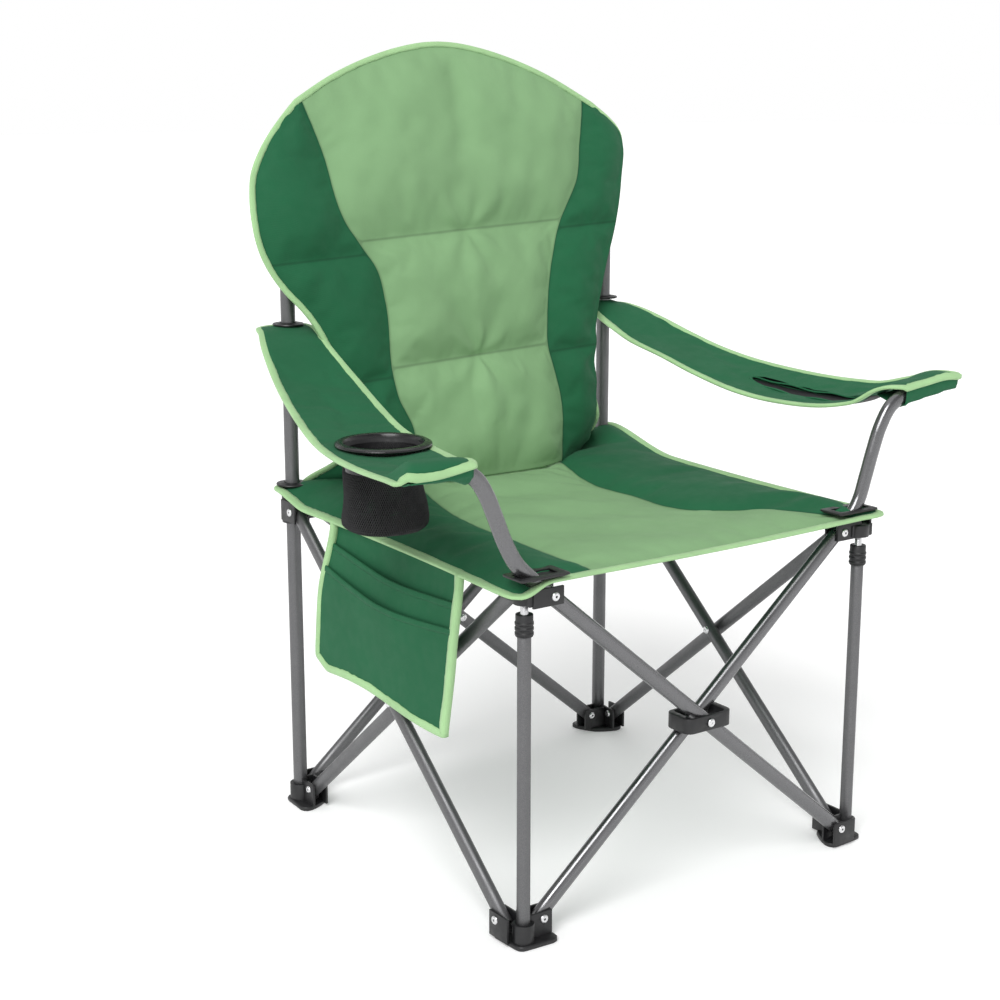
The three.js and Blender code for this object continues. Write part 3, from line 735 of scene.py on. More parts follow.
def rolling(grid, wavelength, seed):
    """Soft random hills, about -1 to 1, over a grid."""
    random = np.random.default_rng(seed)
    x, y, z = np.moveaxis(grid, 2, 0)
    total = np.zeros(grid.shape[:2])
    for _ in range(9):
        turn = random.uniform(0, 2 * math.pi)
        wave = random.uniform(0.7, 1.4) * 2 * math.pi / wavelength
        run = x * math.cos(turn) + z * math.sin(turn) + y * math.sin(turn + 0.7)
        total += np.sin(run * wave + random.uniform(0, 2 * math.pi))
    return total / 3.0


def pulls(x, z, centre_x, centre_z, height, reach):
    """Folds that run out from the middle of a seam, not all of them the same."""
    dx, dz = x - centre_x, z - centre_z
    away = np.hypot(dx, dz)
    turn = np.arctan2(dz, dx)
    spokes = 0.65 * np.cos(6 * turn + math.pi) + 0.35 * np.cos(4 * turn + centre_z / 90)
    return height * spokes * np.exp(-away / reach) * (1 - np.exp(-away / 22))


def pad_half(held, full, thin=0.7):
    """Half the thickness that a pad starts from: thin where it is held, and nothing at its edge."""
    half = np.where(held > 0.9, thin, full)
    half[0] = half[-1] = 0
    half[:, 0] = half[:, -1] = 0
    return half


# Each point's distance in mm from the nearest seam; the padded cloth paints shade into the seam grooves from
# it.
def seam_distance(grid, seams):
    away = np.full(grid.shape[:2], 20.0)
    for column in (LEFT_SEAM, RIGHT_SEAM):
        away = np.minimum(away, np.linalg.norm(grid - grid[:, column, None], axis=2))
    for row, first, last in seams:
        near = np.linalg.norm(grid[:, first : last + 1] - grid[row, first : last + 1], axis=2)
        away[:, first : last + 1] = np.minimum(away[:, first : last + 1], near)
    return away


def panel_value(grid):
    value = np.full(grid.shape[:2], -8.0)
    value[:, : LEFT_SEAM] = 8
    value[:, RIGHT_SEAM + 1 :] = 8
    value[:, [LEFT_SEAM, RIGHT_SEAM]] = 0
    return value


def gather(piece, body):
    """Cloth that rides on a body, with a mesh of its own."""
    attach(piece, body)
    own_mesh(piece)


def make_seat():
    grid, split = seat_grid()
    held = pins(grid, [])
    dark = panel_value(grid) > 0
    rise = puff(grid, held, 6.0, 26, 11) + np.where(dark, 4.0, 0) * (held < 0.9)
    corner_fold = pulls(grid[..., 0], grid[..., 1], 130, 175, 6.0, 60) * (held < 0.9)
    half = pad_half(held, np.maximum(rise + np.where(grid[..., 0] > 0, corner_fold, 0), 1.0))
    noise = 1 + 0.015 * RNG.standard_normal(grid.shape[:2])
    obj = pad(
        "seat", grid, (0, 0, 1), half * np.where(held > 0, 1, noise), held, panel_value(grid),
        seam_distance(grid, []), 0.02, 4.0, 6.0, 4.0,
    )
    points, inward = evenly(*edge_of(grid))
    rows, per_row = grid.shape[0] - 1, grid.shape[1] - 1
    for body, keep_front in (("seat_front", True), ("seat_rear", False)):
        piece = obj.copy()
        piece.data = obj.data.copy()
        bpy.context.scene.collection.objects.link(piece)
        piece.name = piece.data.name = body + "_pad"
        bm = bmesh.new()
        bm.from_mesh(piece.data)
        # each cloth has rows x per_row faces, and each of them is four after the subdivision
        row_of = {f: f.index // 4 % (rows * per_row) // per_row for f in bm.faces}
        drop = [f for f in bm.faces if (row_of[f] < split) != keep_front]
        bmesh.ops.delete(bm, geom=drop, context="FACES")
        rim = [e for e in bm.edges if e.is_boundary]
        bmesh.ops.holes_fill(bm, edges=rim)
        for e in rim:
            e.smooth = False
        bm.to_mesh(piece.data)
        bm.free()
        gather(piece, body)
        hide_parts(body)

        chosen = (points[:, 1] < 0) == keep_front
        start = next(i for i in range(len(points)) if chosen[i] and not chosen[i - 1])
        order = [(start + i) % len(points) for i in range(-1, int(chosen.sum()))]
        tape = edge_tape(body + "_tape", points[order], inward[order], 10.0, 2.3, closed=False)
        gather(tape, body)
    bpy.data.objects.remove(obj)


# ---- back ---------------------------------------------------------------------------------------------
BACK_FOOT, LOW_SEAM, HIGH_SEAM, BACK_SHOULDER = 450, 609, 778, 954
back_left = smooth(
    (450, 250), (464, 236), (508, 209), (573, 210), (640, 232), (698, 264), (724, 287), (770, 314),
    (814, 323), (851, 321), (869, 316), (900, 294), (930, 263), (954, 236),
)
back_right = smooth(
    (450, 250), (464, 238), (486, 214), (523, 201), (572, 204), (628, 214), (698, 239), (754, 263),
    (824, 284), (881, 298), (912, 293), (935, 274), (954, 250),
)
panel_left = smooth(
    (450, 119), (529, 119), (570, 136), (604, 141), (695, 140), (742, 149), (778, 172), (800, 187),
    (892, 210), (954, 230),
)
panel_right = smooth(
    (450, 130), (537, 132), (580, 124), (608, 119), (640, 122), (732, 144), (780, 164), (827, 198),
    (883, 215), (954, 234),
)
back_arc = smooth((0, 1030), (22, 1029), (66, 1022), (118, 1008), (178, 985), (232, 957), (252, 946))
back_lean = smooth((445, 177), (600, 205), (740, 231), (822, 244), (900, 266), (1030, 301))


def back_grid():
    heights = np.concatenate(
        [
            np.linspace(BACK_FOOT, LOW_SEAM, 27, endpoint=False),
            np.linspace(LOW_SEAM, HIGH_SEAM, 28, endpoint=False),
            np.linspace(HIGH_SEAM, BACK_SHOULDER, 37),
        ]
    )[:, None]
    ripple = 2.2 * np.sin(heights / 8.5) * step(heights, 460, 490) * (1 - step(heights, 600, 640))
    left = SHARE < 0
    outer = np.where(left, back_left(heights), back_right(heights)) + ripple
    seam = np.where(left, panel_left(heights), panel_right(heights))
    x = SHARE * seam + np.sign(SHARE) * OVER * (outer - seam)
    top_x = SHARE * np.where(left, 230, 234) + np.sign(SHARE) * OVER * np.where(left, 6, 16)
    rise = np.clip((heights - HIGH_SEAM) / (BACK_SHOULDER - HIGH_SEAM), 0, 1)
    z = np.where(heights > HIGH_SEAM, HIGH_SEAM + rise * (back_arc(np.abs(top_x)) - HIGH_SEAM), heights)
    z = z + (3 + 0.045 * x) * step(z, 470, 570) * (1 - step(z, 830, 945))
    low = 1 - step(heights, BACK_FOOT, BACK_FOOT + 75)
    y = back_lean(z) + low * (seat_rear_edge(np.abs(x)) - 190)
    z = z + (seat_z(x, y) + 2 - BACK_FOOT) * (1 - step(heights, BACK_FOOT, BACK_FOOT + 40))
    return np.stack([x, y, z], 2)


def make_back():
    grid = back_grid()
    last = grid.shape[1] - 1
    seams = [
        (27, LEFT_SEAM, RIGHT_SEAM), (55, LEFT_SEAM, RIGHT_SEAM),
        (25, 0, LEFT_SEAM), (25, RIGHT_SEAM, last), (52, 0, LEFT_SEAM), (53, RIGHT_SEAM, last),
    ]
    held = pins(grid, seams)
    n = normals(grid, (0, -1, 0))
    x, z = grid[..., 0], grid[..., 2]
    dent = np.zeros(grid.shape[:2])
    for height in (LOW_SEAM, HIGH_SEAM):
        dent += 6.0 * np.exp(-((x / 20) ** 2) - ((z - height) / 14) ** 2)
    dent[held < 0.9] *= 0.5
    crease_x = 10 * step(z, 800, 1000)
    crease = 9.0 * np.exp(-(((x - crease_x) / 20) ** 2)) * step(z, 790, 850) * (1 - step(z, 980, 1018))
    rise = puff(grid, held, 16.0, 34, 3)
    for height in (LOW_SEAM + 3, HIGH_SEAM + 3):
        rise += pulls(x, z, 0, height, 8.5, 80) * (held < 0.9)
        for side_x in (-1, 1):
            rise += pulls(x, z, side_x * 215, height - 16 + 10 * side_x, 5.0, 40) * (held < 0.9)
    half = pad_half(held, np.maximum(rise - crease * (held < 0.9), 1.0))
    grid = grid - n * dent[..., None]
    noise = 1 + 0.015 * RNG.standard_normal(grid.shape[:2])
    obj = pad(
        "back_pad", grid, (0, -1, 0), half * np.where(held > 0.9, 1, noise), held, panel_value(grid),
        seam_distance(grid, seams), 0.016, 5.0, 6.0, 4.0,
    )
    ring = [(r, 0) for r in range(len(grid))]
    ring += [(len(grid) - 1, c) for c in range(1, last)]
    ring += [(r, last) for r in range(len(grid) - 1, -1, -1)]
    points, inward = with_inner(grid, ring)
    # at its two ends the tape looks straight across
    inward[[0, -1]] = grid[0, [1, last - 1]] - points[[0, -1]]
    points, inward = evenly(points, inward, closed=False)
    # on the right the binding rolls round behind the pad
    rolled = (points[:, 0] > 0) * (1 - step(points[:, 2], 830, 965)) * step(points[:, 2], 500, 560)
    points = points + np.stack([-3.0 * rolled, 5.5 * rolled, 0 * rolled], 1)
    width, thick = 6.0 - 3.4 * rolled, 2.2 - 0.9 * rolled[:, None]
    gather(obj, "root")
    gather(edge_tape("back_tape", points, inward, width, thick, closed=False), "root")
    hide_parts("backrest")


# ---- armrests -----------------------------------------------------------------------------------------
ARM_FRONT = {-1: -291, 1: -268}
ARM_REAR = 290
ARM_RING_Z = 664
ARM_TUBE_Y = {-1: -LEG - LANE, 1: -LEG + LANE}
arm_inner = smooth(
    (-291, 347), (-262, 334), (-194, 309), (-106, 281), (-11, 262), (65, 247), (155, 236), (202, 237),
    (292, 230),
)
arm_outer = smooth(
    (-291, 449), (-262, 440), (-180, 424), (-89, 407), (36, 376), (148, 348), (218, 328), (257, 312),
    (292, 306),
)
# Heights of each armrest's inner and outer edges, from front to rear.
ARM_EDGES = {
    -1: (
        smooth(
            (-262, 579), (-200, 573), (-100, 567), (0, 573), (75, 590), (150, 616), (228, 655), (250, 662),
            (292, 663),
        ),
        smooth(
            (-291, 578), (-262, 575), (-200, 570), (-100, 567), (0, 573), (75, 590), (150, 616), (228, 655),
            (250, 662), (292, 663),
        ),
    ),
    1: (
        smooth(
            (-262, 594), (-230, 584), (-196, 571), (-165, 564), (-96, 561), (-20, 568), (44, 584), (110, 604),
            (178, 620), (228, 637), (264, 649), (292, 653),
        ),
        smooth(
            (-262, 604), (-221, 601), (-184, 591), (-150, 582), (-117, 580), (-69, 580), (-22, 583),
            (17, 587), (59, 593), (113, 605), (160, 620), (215, 640), (243, 650), (264, 654), (292, 655),
        ),
    ),
}
arm_tube_height = {
    -1: smooth((330, 565), (354, 577), (381, 581), (416, 583), (450, 583)),
    1: smooth((326, 577), (344, 586), (381, 592), (416, 597), (450, 600)),
}
# The hem goes over the arm tube and down its front. Heights by distance out.
hem_top = {
    -1: smooth((300, 580), (330, 584), (350, 589), (381, 592), (410, 593), (449, 594)),
    1: smooth((300, 594), (330, 597), (350, 600), (381, 603), (416, 608), (442, 606)),
}
hem_front = {
    -1: smooth((330, 587), (368, 581), (393, 578), (428, 577), (449, 573)),
    1: smooth((326, 594), (369, 599), (415, 603), (442, 600)),
}
SLOT_FRONT, SLOT_REAR = np.array([351.0, -203.0]), np.array([325.0, 6.0])


def arm_z(side, x, y):
    """An armrest's middle surface. x is the distance out."""
    inner, outer = arm_inner(y), arm_outer(y)
    across = np.clip((x - inner) / (outer - inner), 0, 1)
    low, high = (edge(y) for edge in ARM_EDGES[side])
    z = low * (1 - across) + high * across - 4 * np.sin(math.pi * across) * (1 - step(y, 150, 230))
    by_ring = np.exp(-(((x - LEG) ** 2 + (y - LEG) ** 2) / 26**2))
    z = z + (ARM_RING_Z - z) * by_ring
    tube_y = ARM_TUBE_Y[side]
    hem_share = 1 - step(x, outer - 28, outer - 5) if side < 0 else 1
    over = 1 - step(y, tube_y + 4, tube_y + 60)
    z = z + (hem_top[side](x) - z) * over * hem_share
    down = np.clip((tube_y - 2 - y) / (tube_y - 2 - ARM_FRONT[side]), 0, 1)
    return z + (hem_front[side](x) - z) * (1 - np.sqrt(1 - down**2)) * hem_share


def arm_grid(side):
    front = ARM_FRONT[side]
    hem_end = ARM_TUBE_Y[side] + 10
    in_hem = np.linspace(front, hem_end, 13, endpoint=False)
    y = np.concatenate([in_hem, np.linspace(hem_end, ARM_REAR, 104)])[:, None]
    u = np.linspace(0, 1, 25)[None]
    inner, outer = arm_inner(y), arm_outer(y)
    x = inner + (outer - inner) * u
    y = y + 0 * x
    grid = np.stack([x, y, np.zeros_like(x)], 2)
    round_corner(grid, (arm_outer(front), front), (arm_outer(front) - 7, front + 7))
    round_corner(grid, (arm_outer(ARM_REAR), ARM_REAR), (arm_outer(ARM_REAR) - 30, ARM_REAR - 30))
    round_corner(grid, (arm_inner(ARM_REAR), ARM_REAR), (arm_inner(ARM_REAR) + 16, ARM_REAR - 16))
    grid[..., 2] = arm_z(side, grid[..., 0], grid[..., 1])
    grid[..., 0] *= side
    return grid


def arm_blend(piece):
    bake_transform(piece)


CUP_HOLE = 49


def cup_hole(x, y):
    return CUP[:2], CUP_HOLE


def slot_hole(x, y):
    t, near = slot_place(x, y)
    return near, slot_half(t)


def open_hole(obj, hole):
    """Cuts a hole and smooths its border. hole(x, y) gives the nearest middle point and the radius there."""
    bm = bmesh.new()
    bm.from_mesh(obj.data)
    inside = []
    for f in bm.faces:
        place = plan(f.calc_center_median())[:2]
        near, radius = hole(*place)
        if np.linalg.norm(place - near) < radius:
            inside.append(f)
    before = {v for v in bm.verts if v.is_boundary}
    bmesh.ops.delete(bm, geom=inside, context="FACES")
    for v in bm.verts:
        if v.is_boundary and v not in before:
            place = plan(v.co)
            near, radius = hole(*place[:2])
            place[:2] = near + unit(place[:2] - near) * radius
            v.co = put(place)
    bm.to_mesh(obj.data)
    bm.free()


def slot_place(x, y):
    """How far along the arm's slot a point is (0 to 1), and the nearest point of its middle line."""
    line = SLOT_REAR - SLOT_FRONT
    t = np.clip(((x - SLOT_FRONT[0]) * line[0] + (y - SLOT_FRONT[1]) * line[1]) / (line @ line), 0, 1)
    return t, SLOT_FRONT + t * line


def slot_half(t):
    return 3.0 + 12.0 * np.sqrt(max(math.sin(math.pi * min(max(t, 0.0), 1.0)), 0.0))


def make_arm(side):
    name = side_name(side)
    grid = arm_grid(side)
    held = edge_pins(grid)
    held[grid[..., 1] < ARM_TUBE_Y[side] + 14] = 1
    dark = np.full(grid.shape[:2], 8.0)
    half = pad_half(held, 1.8, 1.3)
    obj = pad(f"{name}_arm_pad", grid, (0, 0, 1), half, held, dark, dark * 2, 0.008, 0.9, 1.6, 1.6)
    open_hole(obj, cup_hole if side < 0 else slot_hole)
    for piece in (obj, tape_round(f"{name}_arm_tape", grid, 7.5, 2.4), hem_flap(side)):
        arm_blend(piece)
    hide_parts(f"{name}_armrest_front", f"{name}_armrest_rear")


def hem_flap(side):
    """The underside of the hem that wraps the arm tube's end."""
    tube_y, edge = ARM_TUBE_Y[side], ARM_FRONT[side]
    x = np.linspace(arm_inner(edge) + 2, arm_outer(edge) - (22 if side < 0 else 8), 24)
    tube_z = arm_tube_height[side](x)
    rear_y = tube_y + 40
    rows = []
    stops = [
        (edge + 2, hem_front[side](x) - 1.5),
        (edge + 2.5, (hem_front[side](x) + tube_z) / 2 - 6),
        (tube_y - 8.5, tube_z - 9.5),
        (tube_y, tube_z - 12),
        (tube_y + 10, tube_z - 9),
        (rear_y, arm_z(side, x, np.full_like(x, rear_y)) - 4),
    ]
    for t in np.linspace(0, len(stops) - 1, 31):
        i = min(int(t), len(stops) - 2)
        (y0, z0), (y1, z1) = stops[i], stops[i + 1]
        share = t - i
        z = z0 + (z1 - z0) * share - 0.9 * np.sin(x / 6 + 2 * t) * step(t, 0.5, 1.5)
        rows.append(np.stack([side * x, y0 + (y1 - y0) * share + 0 * x, z], 1))
    return cloth_sheet(f"{side_name(side)}_hem_flap", np.array(rows), DARK, 1.6)


# ---- cup holder ---------------------------------------------------------------------------------------
def make_cup():
    top, hole, rim = 568, 46, 57
    outline = [
        (hole - 1, top - 26), (hole + 0.2, top - 26), (hole + 0.8, top - 9), (hole + 0.8, top + 2.4),
        (rim - 1.5, top + 2.2), (rim, top + 3.4), (rim - 0.6, top + 5.2), (rim - 3.5, top + 6.8),
        (hole + 4, top + 7.4), (hole + 1.2, top + 6.4), (hole - 0.6, top + 3.0), (hole - 1.4, top - 8),
        (hole - 1, top - 26),
    ]
    centre = CUP * [1, 1, 0]
    ring = turned("cup_ring", centre, (0, 0, 1), outline, RIM_PLASTIC, 96)
    sharp_by_angle(ring, 50)
    bevel(ring, 0.5)
    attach(ring, "left_arm_front")
    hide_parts("cup_rim")

    count, floor_z, mouth_z = 112, 473, 566
    wall = smooth((473, 44), (477, 48.5), (484, 49.8), (496, 48.5), (520, 45.6), (548, 44.5), (566, 44.6))
    rows = [(44 * share, floor_z - 1.5 * math.sin(share * 3)) for share in np.linspace(0.12, 0.94, 12)]
    floor_rows = len(rows)
    rows += [(float(wall(z)), z) for z in np.linspace(floor_z, mouth_z, 34)]
    turn = np.arange(count) * 2 * math.pi / count
    points = []
    for i, (radius, z) in enumerate(rows):
        around = turn + math.pi / count * (i % 2)
        if i >= floor_rows and z < mouth_z - 6:
            radius = radius + (1.3 * np.sin(3 * turn + z / 17) + 0.9 * np.sin(5 * turn - z / 11))
        x, y = CUP[0] + radius * np.cos(around), CUP[1] + radius * np.sin(around)
        points.append(np.stack([x, y, np.full(count, z)], 1))
    faces = []
    for i in range(len(rows) - 2):
        for j in range(count):
            # a diamond: this row, two neighbours on the next row, and the row after that
            left = (i + 1) * count + (j - 1 + i % 2) % count
            right = (i + 1) * count + (j + i % 2) % count
            faces.append([i * count + j, right, (i + 2) * count + j, left])
    bag = mesh_object("cup_bag", np.concatenate(points), faces, MESH)
    wire = bag.modifiers.new("knit", "WIREFRAME")
    wire.thickness = 2.1 * MM
    wire.use_replace = True
    wire.use_even_offset = False
    settle(bag)
    lip_outline = [(44.2, 555), (45.6, 555), (46.2, 560), (46.0, 570), (44.6, 570), (44.2, 560), (44.2, 555)]
    lip = turned("cup_bag_lip", centre, (0, 0, 1), lip_outline, MESH, 72)
    base_outline = [(0, 472.2), (42, 472.2), (44.5, 474.5), (42, 473.4), (0, 473.4)]
    base = turned("cup_bag_floor", centre, (0, 0, 1), base_outline, MESH, 72)
    for piece in (bag, lip, base):
        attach(piece, "left_arm_front")
        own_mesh(piece)
    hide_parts("cup_mesh")


# ---- slot pocket in the right armrest -----------------------------------------------------------------
def make_slot_pocket():
    line = SLOT_REAR - SLOT_FRONT
    along = line / np.linalg.norm(line)
    across = np.array([along[1], -along[0]])
    border = []
    for t in np.linspace(0, 1, 44):
        border.append(SLOT_FRONT + line * t + across * slot_half(t))
    for t in np.linspace(1, 0, 44):
        border.append(SLOT_FRONT + line * t - across * slot_half(t))
    border = np.array(border)
    z = arm_z(1, border[:, 0], border[:, 1])
    rim = np.column_stack([border, z + 1.2 * np.sin(border[:, 1] / 11)])
    out = np.column_stack([border - (SLOT_FRONT + SLOT_REAR) / 2, 0 * z])
    sideways = out - np.outer(out @ np.append(along, 0), np.append(along, 0)) * 0.9
    rim, sideways = evenly(rim, sideways, 4.0)
    lip = edge_tape("slot_lip", rim, sideways, 3.0, 1.2)
    lip.data.materials[0] = DARK
    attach(lip, "right_arm_front")

    rows = []
    for v in np.linspace(0, 1, 60):
        place = SLOT_FRONT + line * (1.06 * v - 0.03)
        deep = math.sin(math.pi * v) ** 0.5
        row = []
        for u in np.linspace(-1, 1, 17):
            spot = place + across * u * 23
            top = arm_z(1, spot[0], spot[1]) - 1.6
            sag = (1 - u**4) * (1.6 + 3 * deep * math.cos(u * math.pi / 2) + 0.8 * math.sin(9 * v + 3 * u))
            row.append([*spot, top - sag])
        rows.append(row)
    obj = cloth_sheet("slot_pocket", np.array(rows), MESH, 1.0)
    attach(obj, "right_arm_front")
    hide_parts("right_arm_pocket")


# ---- side pockets -------------------------------------------------------------------------------------
POCKET_X = -288
POCKET_FRONT, POCKET_REAR = -144, 160
pocket_rear = smooth((230, 160), (330, 148), (424, 128))
pocket_front = smooth((230, -144), (330, -162), (424, -168))


def pocket_bottom(y):
    return 232 + 7 * np.sin((y + 40) / 58) + 10 * step(y, 120, 160)


def pocket_sheet(name, rear_mouth, front_mouth, sag, offset, bulge):
    """One hanging layer. Its mouth runs from rear_mouth to front_mouth, and sags between them."""
    rows = []
    for v in np.linspace(0, 1, 46):
        row = []
        for u in np.linspace(0, 1, 64):
            mouth = rear_mouth + (front_mouth - rear_mouth) * u - sag * math.sin(math.pi * u)
            bottom = pocket_bottom(POCKET_REAR + (POCKET_FRONT - POCKET_REAR) * u)
            z = bottom + (mouth - bottom) * v
            y = pocket_rear(z) + (pocket_front(z) - pocket_rear(z)) * u
            fold = 1.6 * math.sin(u * 9 + v * 3) * math.sin(math.pi * u) * (0.3 + 0.7 * v)
            out = bulge * math.sin(math.pi * u) ** 0.8 * v**1.5 + fold
            swing = 4.0 * math.sin(math.pi * u) * (1 - v) ** 1.2
            hang = step(z, 330, 428)
            x = POCKET_X + 13 * hang * max(1 - (y / 240) ** 2, 0)
            row.append([x - offset - out - swing, y, z])
        rows.append(row)
    points = np.array(rows)
    round_corner(points, (POCKET_REAR, 222), (POCKET_REAR - 32, 262), plane=(1, 2))
    return cloth_sheet(name, points, DARK, 0.8), points


def pocket_ride(piece):
    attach(piece, "side_pocket")
    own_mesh(piece)


def make_side_pockets():
    layers = {
        "side_pocket_back": (431, 430, 0, 0.0, 0.5),
        "side_pocket_upper": (404, 391, 10, 2.6, 5.0),
        "side_pocket_lower": (374, 361, 12, 5.0, 8.0),
    }
    for node, settings in layers.items():
        obj, points = pocket_sheet(node + "_cloth", *settings)
        pocket_ride(obj)
        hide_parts(node)
        if node == "side_pocket_back":
            back = points
        else:
            mouth = points[-1]
            hem = edge_tape(node + "_hem", mouth, points[-2] - mouth, 6.0, 1.1, closed=False)
            hem.data.materials[0] = DARK
            pocket_ride(hem)
    edge = np.concatenate([back[::-1, 0], back[0, 1:], back[1:, -1]])
    inner = np.concatenate([back[::-1, 1], back[1, 1:], back[1:, -2]])
    edge, inward = evenly(edge, inner - edge, closed=False)
    edge[:, 0] -= 2.6
    pocket_ride(edge_tape("side_pocket_tape", edge, inward, 9.0, 4.6, closed=False))


# ---- tubes --------------------------------------------------------------------------------------------
def tube(name, path, radius, wall, material, sides=36, tall=1.0):
    """A tube with a wall and slightly rounded ends."""
    path = np.asarray(path, float)
    tangent = unit(np.gradient(path, axis=0))
    helper = np.array([0.0, 0.0, 1.0]) if abs(tangent[0][2]) < 0.9 else np.array([1.0, 0.0, 0.0])
    ups = unit(helper - tangent * (tangent @ helper)[:, None])
    side = np.cross(tangent, ups)
    turn = circle(1, sides)
    radial = side[:, None] * turn[None, :, :1] + ups[:, None] * turn[None, :, 1:] * tall
    soft = 0.5
    rings = [
        path[0] + radial[0] * (radius - wall),
        path[0] + radial[0] * (radius - soft),
        path[0] + tangent[0] * soft + radial[0] * radius,
    ]
    rings += [path[i] + radial[i] * radius for i in range(1, len(path) - 1)]
    rings += [
        path[-1] - tangent[-1] * soft + radial[-1] * radius,
        path[-1] + radial[-1] * (radius - soft),
        path[-1] + radial[-1] * (radius - wall),
    ]
    rings += [path[i] + radial[i] * (radius - wall) for i in range(len(path) - 2, 0, -1)]
    points = np.array(rings)
    index = np.arange(points.shape[0] * sides).reshape(-1, sides)
    index = np.concatenate([index, index[:, :1]], 1)
    index = np.concatenate([index, index[:1]], 0)
    obj = mesh_object(name, points.reshape(-1, 3), grid_faces(index), material)
    fix_normals(obj)
    return obj


def straight(a, b, pitch=40):
    a, b = np.asarray(a, float), np.asarray(b, float)
    count = max(int(np.linalg.norm(b - a) / pitch), 3)
    return a + np.linspace(0, 1, count)[:, None] * (b - a)


def curve_through(points, pitch):
    """A smooth path through points, by distance run."""
    points = np.asarray(points, float)
    run = np.concatenate([[0], np.linalg.norm(np.diff(points, axis=0), axis=1).cumsum()])
    at = np.linspace(0, run[-1], int(run[-1] / pitch))
    return np.stack([smooth(*zip(run, points[:, i]))(at) for i in range(3)], 1)


CROSS_TUBES = {
    "rear_cross_a": ("fold", "rear_cross_pivot"),
    "rear_cross_b": ("rear_right_foot_pivot", "rear_cross_pivot"),
    "left_cross_a": ("left_cross_a_foot_pivot", "left_cross_pivot"),
    "left_cross_b": ("front_left_foot_pivot", "left_cross_pivot"),
    "right_cross_a": ("right_cross_a_foot_pivot", "right_cross_pivot"),
    "right_cross_b": ("front_right_foot_pivot", "right_cross_pivot"),
}
# The arm tubes' bends above their upper pivots: distance out from the middle, and height.
ARM_BENDS = {
    -1: [(282, 464), (297, 490), (311, 523), (323, 549), (336, 567), (354, 577), (381, 581), (416, 583)],
    1: [(270, 457), (281, 487), (292, 520), (304, 550), (321, 574), (344, 586), (381, 592), (416, 597)],
}


def stand_for(piece, node, body):
    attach(piece, body)
    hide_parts(node)


def make_tubes():
    for node, (foot_joint, middle_joint) in CROSS_TUBES.items():
        foot, centre = pivot_of(foot_joint), pivot_of(middle_joint)
        lane = 1 if node.startswith("rear") else 0
        head = 2 * centre - foot
        head[lane] = foot[lane]
        along = unit(head - foot)
        path = straight(foot - along * END, head + along * END)
        piece = tube(node + "_tube", path, TUBE_R, TUBE_WALL, GREY_TUBE, tall=OVAL)
        stand_for(piece, node, node)
    for side, name in ((-1, "arm_tube_left"), (1, "arm_tube_right")):
        foot = pivot_of(name + "_foot_pivot")
        head = foot * [-1, 1, 0] + [0, 0, HIGH]
        along = unit(head - foot)
        low = straight(foot - along * END, head + along * 20, 30)
        bends = [head + along * 20, head + along * 30]
        bends += [[side * x, foot[1], z] for x, z in ARM_BENDS[side]]
        path = np.concatenate([low[:-1], curve_through(bends, 4)])
        piece = tube(name + "_steel", path, TUBE_R, TUBE_WALL, ARM_TUBE, tall=OVAL)
        stand_for(piece, name, name)
    for node, body, radius, paint, slot_name in (
        ("rear_left_post", "root", POST_R, GREY_TUBE, "grey_steel"),
        ("rear_right_post", "rear_right_leg", POST_R, GREY_TUBE, "grey_steel"),
        ("front_left_leg", "front_left_leg", TUBE_R, GREY_TUBE, "grey_steel"),
        ("front_right_leg", "front_right_leg", TUBE_R, GREY_TUBE, "grey_steel"),
        ("front_left_leg_rod", "front_left_bracket", ROD_R, BRIGHT, "bright_steel"),
        ("front_right_leg_rod", "front_right_bracket", ROD_R, BRIGHT, "bright_steel"),
    ):
        low, high = (plan(p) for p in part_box(node))
        x, y = (low[:2] + high[:2]) / 2
        piece = tube(node + "_steel", straight([x, y, low[2]], [x, y, high[2]]), radius, TUBE_WALL, paint)
        stand_for(piece, node, body)


# ---- fittings -----------------------------------------------------------------------------------------
CORNERS = {
    "front_left": (0, "front_left_leg", "front_left_bracket"),
    "front_right": (1, "front_right_leg", "front_right_bracket"),
    "rear_right": (2, "rear_right_leg", "rear_right_slider"),
    "rear_left": (3, "root", "rear_left_slider"),
}
RIVET = [(0, 1.0), (1.3, 1.0), (1.5, 1.9), (3.0, 2.3), (4.6, 1.7), (5.4, 0.5), (5.4, -0.3), (0, -0.3)]


def quarter_turns(point, turns):
    x, y, z = point
    for _ in range(turns):
        x, y = -y, x
    return np.array([x, y, z])


def lug_rivets(name, turns, lane, height, body):
    """The four rivet heads on a corner's two lugs. lane is the lane of the tube along its own X."""
    heads = []
    along_x = (-PIVOT, -LEG + lane, height), (0, 1, 0)
    along_y = (-LEG - lane, -PIVOT, height), (1, 0, 0)
    for spot, axis in (along_x, along_y):
        for sign in (-1, 1):
            direction = quarter_turns(np.array(axis) * sign, turns)
            centre = quarter_turns(spot, turns) + direction * (LUG_OUT + 0.3)
            heads.append(turned(name, centre, direction, RIVET, BRIGHT, 20))
    piece = joined(name, heads)
    sharp_by_angle(piece)
    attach(piece, body)


def crossing_rivet(node, body, reach):
    low, high = (plan(p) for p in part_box(node))
    centre = (low + high) / 2
    axis = np.array([1.0, 0, 0]) if high[0] - low[0] > high[1] - low[1] else np.array([0, 1.0, 0])
    parts = [turned(node, centre, axis, [(0, -reach), (2.6, -reach), (2.6, reach), (0, reach)], BRIGHT, 16)]
    for sign in (-1, 1):
        parts.append(turned(node, centre + axis * sign * reach, axis * sign, RIVET, BRIGHT, 20))
    piece = joined(node + "_steel", parts)
    sharp_by_angle(piece)
    stand_for(piece, node, body)


